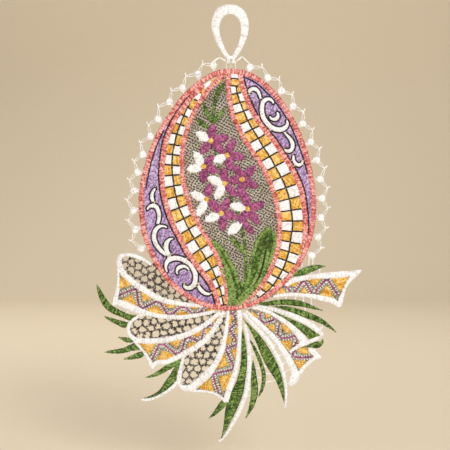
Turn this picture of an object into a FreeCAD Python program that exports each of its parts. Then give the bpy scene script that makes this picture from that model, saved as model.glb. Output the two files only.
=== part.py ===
import FreeCAD, Part
import math
import os

# Egg-shaped ornament of free-standing machine embroidery, hung from its own thread loop.
# Millimetres. X runs across the face, Z runs up, and the front face looks along -Y.
# The origin is the inside top of the loop's eye, where the hook bears.

# Driving dimensions
SATIN = 0.90          # thickness of satin-stitched cords and leaf blades
FILL = 0.60           # thickness of flat stitch fills
NET = 0.36            # thickness of the net grounds
LINE = 0.72           # thickness of the black outline stitches, proud of the fills
PETAL = 1.10          # thickness of the flower petals
DOT = 1.30            # thickness of the flower centres
BAR = 0.30            # thickness of the tie bars between motifs
THREAD = 0.36         # width of one laid pair of threads
BLACK = 0.46          # width of the black outline
BORDER = 1.70         # width of the coral border round the egg
BAND_OUTER = 1.60     # width of the coral edge of a band beside the lilac panel
BAND_INNER = 1.40     # width of the coral edge of a band beside the net
BEAD = 2.40           # diameter of one picot bead
PICOT_OUT = 2.30      # how far the picot threads reach out between two beads
HINGE_X = 0.55        # middle of the loop's foot
HINGE_Z = -16.50      # height of the crown bar that the loop's foot is wrapped round
PIN_RADIUS = 0.25     # crown bar
BORE_RADIUS = 0.31    # inside of the wrapping
WRAP_RADIUS = 0.75    # outside of the wrapping
WRAP_LENGTH = 1.05    # each of the two wrappings
LEG_GAP = 0.60        # slot between the wrappings, for the middle leg
LEG_RADIUS = 0.18     # legs of the crown bar
SMALLEST = 0.02       # face area under which a trimmed scrap is dropped, mm2


# ---------------------------------------------------------------- drawing helpers

def point(x, z, y=0.0):
    return FreeCAD.Vector(x, y, z)


def smooth(points, closed=False):
    """Spline through the points, in the plane of the work."""
    curve = Part.BSplineCurve()
    curve.interpolate(Points=[point(x, z) for x, z in points], PeriodicFlag=closed)
    return curve


def face_inside(edges):
    """Face inside a loop of edges, always with its normal along +Y."""
    face = Part.Face(Part.Wire(edges))
    if face.normalAt(0, 0).y < 0:
        face = Part.Face([wire.reversed() for wire in face.Wires])
    return face


def area(*sides):
    """Face bounded by sides in order: two points make a straight side, more a smooth one."""
    edges = []
    last = sides[-1][-1]
    for side in sides:
        if math.dist(last, side[0]) > 1e-6:
            edges.append(Part.makeLine(point(*last), point(*side[0])))
        if len(side) == 2:
            edges.append(Part.makeLine(point(*side[0]), point(*side[1])))
        elif len(side) > 2:
            edges.append(smooth(side).toShape())
        last = side[-1]
    return face_inside(edges)


def blob(points):
    """Face inside one closed smooth curve."""
    return face_inside([smooth(points, closed=True).toShape()])


def polygon(*points):
    """Face with straight sides."""
    return area(*zip(points, points[1:] + points[:1]))


def spread(width, count):
    """Width at each of count stations: one number, or several spread evenly along the route."""
    if not isinstance(width, tuple):
        return [width] * count
    widths = []
    for i in range(count):
        place = i / (count - 1) * (len(width) - 1)
        step = min(int(place), len(width) - 2)
        widths.append(width[step] + (width[step + 1] - width[step]) * (place - step))
    return widths


def offset_route(route, distances):
    """The route moved sideways, to its left, by the distance at each station."""
    curve = smooth(route)
    moved = []
    for (x, z), distance in zip(route, distances):
        along = curve.tangent(curve.parameter(point(x, z)))[0]
        moved.append((x - along.z * distance, z + along.x * distance))
    return moved


def away(from_point, to_point, length):
    """Step of the given length in the direction from one point to another."""
    span = math.dist(from_point, to_point)
    return ((to_point[0] - from_point[0]) / span * length, (to_point[1] - from_point[1]) / span * length)


def offset_closed(points, distance):
    """Closed outline moved inward by the given distance."""
    count = len(points)
    moved = []
    for i in range(count):
        before, after = points[i - 1], points[(i + 1) % count]
        step = away(before, after, distance)
        moved.append((points[i][0] - step[1], points[i][1] + step[0]))
    return moved


def strip(route, width):
    """Stitched cord of the given width along a smooth route."""
    halves = [w / 2 for w in spread(width, len(route))]
    left = offset_route(route, halves)
    right = offset_route(route, [-half for half in halves])
    return area(left, right[::-1])


def side_strip(route, near, far):
    """Band between two distances to the left of a route."""
    inner = offset_route(route, [near] * len(route))
    outer = offset_route(route, [far] * len(route))
    return area(inner, outer[::-1])


def bar(start, end, width=THREAD):
    """Straight strip from one point to another."""
    length = math.dist(start, end)
    dx = (start[1] - end[1]) / length * width / 2
    dz = (end[0] - start[0]) / length * width / 2
    return polygon((start[0] + dx, start[1] + dz), (end[0] + dx, end[1] + dz),
                   (end[0] - dx, end[1] - dz), (start[0] - dx, start[1] - dz))


def lens(start, end, width):
    """Pointed petal or bud between two points, widest half way."""
    length = math.dist(start, end)
    nx = (start[1] - end[1]) / length * width / 2
    nz = (end[0] - start[0]) / length * width / 2
    middle = ((start[0] + end[0]) / 2, (start[1] + end[1]) / 2)
    sides = []
    for sign in (1, -1):
        top = point(middle[0] + sign * nx, middle[1] + sign * nz)
        sides.append(Part.Arc(point(*start), top, point(*end)).toShape())
    return face_inside(sides)


def disc(centre, radius):
    circle = Part.Circle(point(*centre), FreeCAD.Vector(0, 1, 0), radius)
    return face_inside([circle.toShape()])


def clusters(faces):
    """The faces sorted into groups that share edges."""
    groups = []
    for face in faces:
        keys = {edge.hashCode() for edge in face.Edges}
        members = [face]
        apart = []
        for other_keys, other_members in groups:
            if keys & other_keys:
                keys |= other_keys
                members += other_members
            else:
                apart.append((other_keys, other_members))
        groups = apart + [(keys, members)]
    return [members for keys, members in groups]


def joined(pieces):
    """One flat shape from overlapping pieces, with the seams between them gone."""
    if len(pieces) == 1:
        return pieces[0]
    merged = []
    for members in clusters(pieces[0].multiFuse(pieces[1:]).Faces):
        merged += Part.makeShell(members).removeSplitter().Faces
    return Part.makeCompound(merged)


def group(shapes):
    """Faces kept apart in one compound."""
    return Part.makeCompound([face for shape in shapes for face in shape.Faces])


def plate(shape, thickness):
    """Solids of the given thickness, centred on the plane of the work."""
    half = FreeCAD.Vector(0, thickness / 2, 0)
    solids = []
    for face in shape.Faces:
        if face.Area > SMALLEST:
            solids.append(face.translated(-half).extrude(2 * half))
    return Part.makeCompound(solids)


def rod(start, end, radius):
    """Round rod between two 3-D points."""
    return Part.makeCylinder(radius, (end - start).Length, start, end - start)


def save(name, shape):
    for solid in shape.Solids:
        if not solid.isValid():
            print("not valid:", name)
    shape.exportStep("parts/" + name + ".step")
    print(name, len(shape.Solids), "solids", round(sum(s.Volume for s in shape.Solids), 2), "mm3")


# ---------------------------------------------------------------- hanging loop and its hinge

def hang_loop():
    """Satin teardrop with an open eye."""
    outer = [(-0.75, -15.5), (-1.9, -14.3), (-3.2, -12.2), (-4.5, -9.8), (-5.5, -7.3), (-6.1, -4.6),
             (-5.9, -2.0), (-5.2, 0.2), (-3.9, 2.0), (-1.9, 3.0), (0.3, 3.2), (2.5, 2.9),
             (4.5, 1.7), (5.8, -0.2), (6.6, -2.6), (6.6, -5.2), (6.1, -7.8), (5.2, -10.2),
             (4.0, -12.6), (2.9, -14.3), (1.85, -15.5)]
    eye = [(0.0, 0.0), (-1.6, -0.6), (-2.9, -2.2), (-3.45, -4.4), (-3.3, -6.7), (-2.7, -9.0),
           (-1.8, -11.3), (-0.7, -13.5), (0.55, -14.7), (1.6, -13.4), (2.7, -11.4), (3.5, -9.0),
           (3.95, -6.6), (3.95, -4.3), (3.5, -2.4), (2.3, -0.9), (1.1, -0.1)]
    return plate(area(outer).cut(blob(eye)), SATIN)


def loop_foot():
    """Two wrappings round the crown bar, bridged under the loop."""
    total = 2 * WRAP_LENGTH + LEG_GAP
    left = HINGE_X - total / 2
    foot_top = -15.5
    start = point(left, HINGE_Z)
    block = Part.makeBox(total, SATIN, foot_top - HINGE_Z, FreeCAD.Vector(left, -SATIN / 2, HINGE_Z))
    body = block.fuse(rod(start, point(left + total, HINGE_Z), WRAP_RADIUS))
    bore = rod(point(left - 1, HINGE_Z), point(left + total + 1, HINGE_Z), BORE_RADIUS)
    slot = Part.makeBox(LEG_GAP, 4, WRAP_RADIUS * 2,
                        FreeCAD.Vector(HINGE_X - LEG_GAP / 2, -2, HINGE_Z - WRAP_RADIUS))
    return body.cut([bore, slot])


def crown_bar(border):
    """Thread bar that the foot swings on, with three legs down to the crown of the border."""
    reach = WRAP_LENGTH + LEG_GAP / 2 + 0.45
    shape = rod(point(HINGE_X - reach, HINGE_Z), point(HINGE_X + reach, HINGE_Z), PIN_RADIUS)
    for x in (HINGE_X - reach + 0.2, HINGE_X, HINGE_X + reach - 0.2):
        shape = shape.fuse(rod(point(x, HINGE_Z), point(x, -19.5), LEG_RADIUS))
    return shape.cut(border).removeSplitter()


# ---------------------------------------------------------------- egg border and bands

EGG_OUTER = [(0.1, -18.9), (-5.0, -19.8), (-11.1, -23.4), (-16.2, -28.0), (-21.0, -34.6), (-24.6, -40.2),
             (-27.2, -46.0), (-29.3, -52.6), (-30.9, -60.0), (-31.2, -67.0), (-30.3, -74.5),
             (-28.4, -81.0), (-25.2, -87.2), (-20.5, -93.5), (-15.0, -97.8), (-10.0, -100.6),
             (-4.6, -102.0), (0.8, -102.3), (6.0, -101.4), (11.3, -99.2), (16.4, -95.7),
             (21.4, -90.9), (25.2, -85.4), (28.0, -79.2), (29.6, -72.0), (29.9, -64.5), (29.1, -57.0),
             (27.5, -49.5), (25.3, -42.7), (22.4, -36.4), (18.6, -30.2), (13.7, -24.6), (7.6, -20.4)]

# Outer edge of each band, where the coral starts, from the crown down to the foot of the egg
LEFT_BAND_OUT = [(-9.4, -24.0), (-13.2, -27.6), (-16.6, -31.7), (-18.9, -35.2), (-21.0, -39.3),
                 (-22.6, -43.6), (-23.5, -48.2), (-24.0, -53.0), (-24.0, -58.0), (-23.3, -63.0),
                 (-22.0, -68.0), (-20.1, -73.0), (-17.6, -78.0), (-14.8, -83.2), (-11.6, -87.6),
                 (-8.6, -91.3), (-6.3, -95.2), (-4.6, -100.4), (-4.2, -102.6)]
LEFT_BAND_IN = [(0.3, -19.3), (-2.3, -22.0), (-4.9, -24.6), (-8.2, -28.7), (-11.0, -33.0),
                (-13.3, -38.0), (-14.9, -43.5), (-15.6, -49.5), (-15.5, -54.5), (-14.7, -60.0),
                (-13.0, -65.8), (-10.7, -71.0), (-7.9, -75.9), (-4.8, -81.0), (-2.2, -87.0),
                (-0.7, -92.5), (-0.1, -97.5), (0.0, -102.6)]
RIGHT_BAND_IN = [(-0.9, -18.0), (-1.0, -21.5), (-0.9, -26.0), (-0.4, -30.5), (0.9, -36.0), (3.2, -41.0),
                 (6.3, -46.3), (9.9, -51.5), (12.7, -56.8), (14.8, -62.3), (16.1, -68.3),
                 (16.6, -74.0), (16.2, -79.3), (14.9, -84.6), (12.6, -89.8), (9.4, -94.4),
                 (5.6, -98.0), (1.5, -101.2)]
RIGHT_BAND_OUT = [(4.3, -18.0), (4.7, -21.5), (5.6, -25.5), (6.9, -29.3), (9.0, -33.8), (11.8, -38.2),
                  (15.0, -42.1), (18.3, -46.8), (21.3, -51.4), (23.7, -55.8), (25.5, -60.5),
                  (26.5, -65.5), (27.0, -71.0), (27.0, -76.0), (26.0, -81.5)]

LEFT_CENTRE = [(-10.6, -25.2), (-12.6, -29.0), (-14.3, -32.2), (-15.7, -35.1), (-16.9, -38.1),
               (-18.1, -41.4), (-19.0, -45.2), (-19.6, -48.5), (-19.8, -52.0), (-19.6, -55.6),
               (-19.1, -59.2), (-18.4, -63.1), (-17.3, -66.8), (-15.7, -70.5), (-14.0, -74.1),
               (-12.2, -77.4), (-10.1, -81.0), (-7.9, -84.7), (-6.0, -87.8), (-4.6, -91.2),
               (-3.4, -94.2), (-2.6, -97.4), (-1.9, -100.4)]
# Outer and inner end of the black line across the left band at each station of its centre
LEFT_ACROSS = [((-11.6, -24.6), (-9.9, -27.2)), ((-13.6, -28.6), (-10.9, -30.1)),
               ((-15.6, -31.6), (-13.0, -32.9)), ((-17.6, -34.2), (-14.3, -35.7)),
               ((-18.9, -37.5), (-15.3, -38.8)), ((-20.4, -40.9), (-16.2, -42.0)),
               ((-21.5, -44.8), (-16.9, -45.5)), ((-22.3, -48.2), (-17.2, -48.8)),
               ((-22.6, -51.9), (-17.2, -52.4)), ((-22.7, -55.9), (-17.0, -55.4)),
               ((-22.3, -59.9), (-16.6, -58.9)), ((-21.8, -64.0), (-15.4, -62.2)),
               ((-20.6, -68.1), (-14.5, -65.8)), ((-19.1, -72.3), (-12.9, -69.2)),
               ((-17.5, -76.3), (-11.5, -72.7)), ((-15.3, -79.6), (-9.5, -75.9)),
               ((-13.3, -83.3), (-7.4, -79.5)), ((-10.8, -86.5), (-5.6, -82.9)),
               ((-8.6, -89.2), (-3.8, -86.5)), ((-6.6, -92.3), (-2.9, -90.1)),
               ((-5.0, -95.0), (-2.1, -93.5)), ((-4.0, -97.8), (-1.6, -97.0)),
               ((-3.6, -100.8), (-1.3, -100.4))]
RIGHT_CENTRE = [(2.4, -24.8), (2.8, -27.7), (3.8, -30.7), (5.0, -33.6), (6.4, -36.9), (8.1, -39.9),
                (9.9, -42.8), (11.7, -45.9), (13.9, -49.1), (15.7, -52.4), (17.8, -56.2),
                (19.5, -60.0), (20.7, -63.6), (21.3, -67.6), (21.8, -71.5), (21.6, -74.9),
                (21.0, -78.7), (20.5, -82.1), (19.6, -85.2), (18.4, -88.2), (16.8, -91.0),
                (15.0, -93.6), (12.6, -96.1), (10.2, -98.2)]
# Inner and outer end of the black line across the right band at each station of its centre
RIGHT_ACROSS = [((0.4, -24.8), (3.4, -24.8)), ((0.5, -27.8), (4.0, -27.2)), ((1.0, -31.4), (5.4, -30.1)),
                ((2.0, -34.5), (6.8, -32.8)), ((3.7, -38.1), (8.5, -35.8)), ((5.2, -41.1), (10.5, -38.5)),
                ((7.0, -44.6), (12.4, -41.5)), ((9.2, -47.6), (14.6, -44.2)),
                ((10.8, -51.0), (16.9, -47.4)), ((12.6, -54.2), (19.1, -50.8)),
                ((14.5, -57.9), (21.2, -54.7)), ((15.8, -61.2), (23.0, -58.7)),
                ((16.9, -64.8), (24.3, -62.8)), ((17.4, -68.3), (25.1, -67.2)),
                ((17.5, -71.5), (25.5, -71.4)), ((17.6, -74.8), (25.3, -75.1)),
                ((17.4, -78.0), (24.7, -79.4)), ((16.9, -80.9), (24.2, -83.2)),
                ((16.3, -83.9), (22.4, -86.2)), ((15.4, -86.8), (20.8, -89.5)),
                ((14.2, -89.7), (18.6, -92.0)), ((12.9, -92.2), (16.2, -94.4)),
                ((11.0, -94.8), (13.6, -96.8)), ((9.4, -97.0), (10.8, -98.8))]


# Squares where each band narrows under the crown, past the last station of its centre
CROWN_SQUARES = {
    "left": [("white", [(-9.9, -25.2), (-6.2, -22.8), (-7.0, -26.2), (-9.6, -27.4)]),
             ("yellow", [(-6.3, -22.9), (-3.0, -20.9), (-2.4, -23.0), (-6.6, -26.0)]),
             ("yellow", [(-10.9, -25.6), (-9.9, -24.8), (-7.6, -26.6), (-9.6, -28.0)])],
    "right": [("white", [(0.0, -19.6), (3.6, -19.6), (3.4, -22.3), (0.2, -22.3)]),
              ("yellow", [(0.2, -22.3), (3.4, -22.3), (3.6, -24.8), (0.2, -24.8)])],
}
CROWN_LINE = ((0.4, -22.3), (3.2, -22.4))


def band_cells(centre, across):
    """The two columns of squares of a band, as (outer or inner side, station) cells."""
    cells = {}
    for i in range(len(centre) - 1):
        for side in (0, 1):
            reach = [extended(centre[j], across[j][side], 0.35) for j in (i, i + 1)]
            cells[side, i] = polygon(centre[i], centre[i + 1], reach[1], reach[0])
    return cells


def extended(start, end, extra):
    """A point past the end of the segment, so that the square runs in under the coral."""
    scale = 1 + extra / math.dist(start, end)
    return (start[0] + (end[0] - start[0]) * scale, start[1] + (end[1] - start[1]) * scale)


def band_grid(centre, across, more=()):
    """Black centre line and the black lines across it."""
    lines = [strip(centre, BLACK)]
    lines += [bar(a, b, BLACK * 0.85) for a, b in across]
    lines += list(more)
    return joined(lines)


# ---------------------------------------------------------------- lilac panels

LEFT_SCROLLS = [
    ([(-25.5, -60.2), (-26.4, -61.4), (-26.7, -62.9), (-26.2, -64.7)], (0.5, 1.2, 1.1)),
    ([(-28.3, -67.5), (-27.6, -66.5), (-26.5, -66.1), (-25.3, -66.5), (-24.5, -67.9), (-24.2, -69.5),
      (-24.4, -71.3), (-24.7, -72.4)], (0.5, 1.5, 1.3, 1.0)),
    ([(-21.6, -73.7), (-23.5, -73.2), (-25.0, -74.0), (-25.9, -75.8), (-25.9, -77.8), (-25.0, -79.8),
      (-23.6, -81.6), (-21.9, -82.9)], (0.5, 1.5, 1.5, 1.2)),
    ([(-19.4, -77.5), (-20.7, -77.9), (-21.6, -79.0), (-21.8, -80.8), (-20.9, -83.0)], (0.4, 1.5, 1.6)),
    ([(-21.4, -89.0), (-21.9, -87.0), (-21.3, -85.3), (-19.5, -84.3), (-17.0, -84.4), (-14.6, -85.5),
      (-12.8, -87.4), (-11.8, -89.6), (-11.8, -92.0), (-12.7, -93.9), (-14.2, -94.5), (-15.3, -94.1),
      (-15.6, -93.3)], (0.5, 1.7, 1.5, 1.6, 1.6, 0.6)),
    ([(-17.8, -89.7), (-18.0, -88.3), (-17.1, -87.3), (-15.6, -87.1), (-14.0, -88.2)], (0.5, 1.4, 0.6)),
    ([(-10.7, -93.7), (-9.8, -95.2), (-8.4, -96.3), (-6.7, -96.5)], (1.0, 1.4, 0.7))]
RIGHT_SCROLLS = [
    ([(6.9, -27.3), (7.2, -26.2), (8.4, -25.8), (9.6, -26.4), (10.4, -27.8), (10.8, -29.3)],
     (0.8, 1.3, 1.2, 0.6)),
    ([(15.2, -30.9), (14.6, -29.8), (13.3, -29.4), (12.0, -30.0), (11.3, -31.8), (11.3, -34.0),
      (12.0, -36.2), (13.4, -38.1), (15.3, -39.5), (17.5, -39.9), (19.2, -39.2), (20.0, -37.9),
      (19.8, -36.8)], (0.5, 1.4, 1.5, 1.6, 1.6, 0.6)),
    ([(13.9, -35.3), (15.0, -36.3), (16.2, -36.1), (16.8, -35.1), (16.4, -34.0)], (0.5, 1.4, 0.6)),
    ([(18.9, -40.9), (20.3, -42.3), (21.5, -44.0), (21.8, -45.8), (21.1, -47.1), (20.0, -47.3),
      (19.1, -46.7)], (0.5, 1.3, 1.3, 0.8)),
    ([(22.1, -48.8), (22.2, -50.3), (22.9, -51.6), (24.1, -52.1), (25.0, -51.5), (25.2, -50.8)],
     (0.7, 1.2, 0.7))]


def scrollwork(scrolls):
    """White scrolls, and the black line round each of them."""
    white = [strip(route, width) for route, width in scrolls]
    wider = []
    for route, width in scrolls:
        wider.append(strip(route, tuple(w + 2 * BLACK for w in width)))
        wider += [disc(route[0], width[0] / 2 + BLACK), disc(route[-1], width[-1] / 2 + BLACK)]
    return white, wider


# ---------------------------------------------------------------- centre panel

FLOWERS = {
    # centre of the flower: (tips of the coloured petals, tips of the white petals)
    (-6.4, -43.8): ([(-5.7, -37.8), (0.2, -42.4), (-1.4, -48.3), (-10.0, -48.3)], [(-11.5, -40.9)]),
    (-0.8, -48.8): ([(1.6, -42.9), (5.7, -49.4), (0.8, -54.2)], [(-5.9, -51.0)]),
    (-8.8, -52.6): ([(-5.2, -48.7), (-3.4, -54.5), (-9.0, -58.6)], [(-12.2, -47.5), (-14.7, -53.8)]),
    (4.4, -57.1): ([(2.0, -52.0), (9.0, -52.3), (10.0, -59.8), (3.9, -63.8), (-1.0, -57.6)], []),
    (-1.7, -58.5): ([(-2.0, -52.7), (2.6, -63.1)], [(-7.6, -56.6), (-4.8, -64.1)]),
    (-7.9, -64.0): ([(-6.4, -58.2), (-3.0, -67.9)], [(-13.4, -61.8), (-11.0, -69.9)]),
    (6.3, -67.2): ([(5.1, -61.0), (12.1, -65.2), (10.3, -72.7), (3.5, -72.6)], [(-0.1, -66.0)]),
    (-2.8, -68.8): ([(-6.9, -64.7), (-0.1, -63.2), (3.4, -70.2), (-2.0, -75.1)], [(-8.4, -71.5)])}
PETAL_WIDTH = 2.9
STAMEN_RADIUS = 0.95


def petals(kind):
    """Petals of one colour: kind 0 is magenta, kind 1 is white. Each widens out past the centre."""
    shapes = []
    for centre, tips in FLOWERS.items():
        for tip in tips[kind]:
            shapes.append(lens(centre, tip, PETAL_WIDTH * min(1.0, math.dist(centre, tip) / 5.6)))
    buds = [lens((4.4, -71.4), (8.5, -76.0), 2.4)], [lens((4.2, -71.9), (-0.5, -76.0), 3.2)]
    return shapes + buds[kind]


def top_leaves():
    blades = [([(-1.5, -24.1), (-3.3, -26.0), (-4.6, -28.5), (-5.2, -31.5), (-5.5, -35.0), (-5.6, -37.6)],
               (0.3, 1.7, 1.2, 0.8, 0.9)),
              ([(-9.0, -30.1), (-8.3, -32.6), (-7.3, -34.9), (-5.9, -37.3)], (0.2, 1.3, 1.6, 1.3)),
              ([(-1.1, -32.0), (-2.6, -34.0), (-4.0, -35.7), (-5.4, -37.5)], (0.2, 1.3, 1.6, 1.3)),
              ([(-11.6, -35.9), (-10.2, -37.2), (-8.6, -38.4), (-6.9, -39.2)], (0.2, 1.3, 1.6, 1.0))]
    return [strip(route, width) for route, width in blades]


def stems():
    """Flower stem with its short side pieces, and the small blade beside it."""
    routes = [([(4.1, -73.0), (4.7, -76.0), (5.3, -80.0), (5.6, -84.0), (5.6, -89.0), (5.2, -94.0)], 0.9),
              ([(0.4, -76.8), (2.0, -78.6), (3.6, -80.5), (5.3, -83.0)], (0.4, 1.7, 1.7, 0.8)),
              ([(0.1, -62.8), (0.5, -64.0), (0.8, -65.6)], (1.0, 1.1, 0.8)),
              ([(-6.1, -44.6), (-6.1, -45.4), (-6.2, -46.4)], 0.8),
              ([(-5.0, -47.6), (-4.7, -48.5), (-4.8, -49.6)], 0.6),
              ([(-3.6, -52.0), (-3.4, -52.9), (-3.3, -53.9)], 0.7),
              ([(2.5, -67.9), (2.7, -68.6), (3.2, -69.3)], 0.9)]
    return [strip(route, width) for route, width in routes]


def bottom_leaves():
    left = area([(0.0, -101.0), (-0.7, -95.0), (-1.9, -89.0), (-4.2, -82.6), (-6.3, -78.2), (-5.6, -77.6)],
                [(-5.6, -77.6), (-3.4, -79.4), (-1.2, -81.7), (0.3, -84.5), (1.7, -87.0), (2.8, -89.8),
                 (3.8, -93.2)],
                [(3.8, -93.2), (5.0, -92.0)],
                [(5.0, -92.0), (6.0, -101.5)])
    right = area([(4.0, -101.0), (4.8, -95.0), (6.0, -90.8), (6.6, -86.0), (8.0, -81.5), (9.0, -78.3),
                  (10.6, -75.8), (13.7, -73.1)],
                 [(13.7, -73.1), (15.2, -74.8), (16.6, -77.2), (17.0, -80.0), (15.6, -85.0),
                  (13.2, -90.0), (9.8, -95.0), (4.0, -101.0)])
    return joined([left, right])


LEAF_VEINS = [[(12.6, -81.6), (11.9, -85.0), (11.0, -88.5), (9.8, -91.6), (8.1, -94.4), (5.6, -97.2),
               (2.4, -100.2)],
              [(-2.3, -86.4), (-1.0, -89.5), (0.0, -92.6), (0.6, -95.5), (0.7, -98.0), (0.4, -100.6)]]


# ---------------------------------------------------------------- picot edging

LEFT_BEADS = [(-5.5, -17.7), (-10.9, -20.8), (-16.2, -25.6), (-20.6, -30.4), (-24.6, -36.2),
              (-27.3, -42.2), (-29.9, -48.5), (-31.7, -54.6), (-32.9, -61.0), (-33.1, -67.8),
              (-32.4, -74.4), (-30.5, -81.0)]
RIGHT_BEADS = [(7.1, -18.4), (13.3, -22.0), (18.0, -26.5), (22.0, -31.8), (25.3, -37.8), (28.0, -44.2),
               (30.1, -50.4), (31.4, -57.0), (31.9, -63.6), (31.6, -70.3), (30.6, -77.0), (28.5, -83.3)]
EGG_MIDDLE = (-0.7, -60.0)


def picot_threads(beads, first):
    """Threads from bead to bead through an outer knot, the knot's tail, and each bead's tie."""
    bars = [bar(first, beads[0])]
    for upper, lower in zip(beads, beads[1:]):
        middle = ((upper[0] + lower[0]) / 2, (upper[1] + lower[1]) / 2)
        along = away(upper, lower, 1.0)
        side = 1 if middle[0] > EGG_MIDDLE[0] else -1
        outward = (-along[1] * side, along[0] * side)
        knot = (middle[0] + outward[0] * PICOT_OUT, middle[1] + outward[1] * PICOT_OUT)
        tail = (knot[0] + outward[0] * 1.1 - along[0] * 0.9, knot[1] + outward[1] * 1.1 - along[1] * 0.9)
        bars += [bar(upper, knot), bar(knot, lower), bar(knot, tail), disc(knot, THREAD * 0.7)]
    for bead in beads:
        step = away(bead, EGG_MIDDLE, 3.0)
        bars.append(bar(bead, (bead[0] + step[0], bead[1] + step[1]), THREAD * 1.6))
    return bars


def picot_beads():
    return [disc(bead, BEAD / 2) for bead in LEFT_BEADS + RIGHT_BEADS]


# ---------------------------------------------------------------- ribbons

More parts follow.
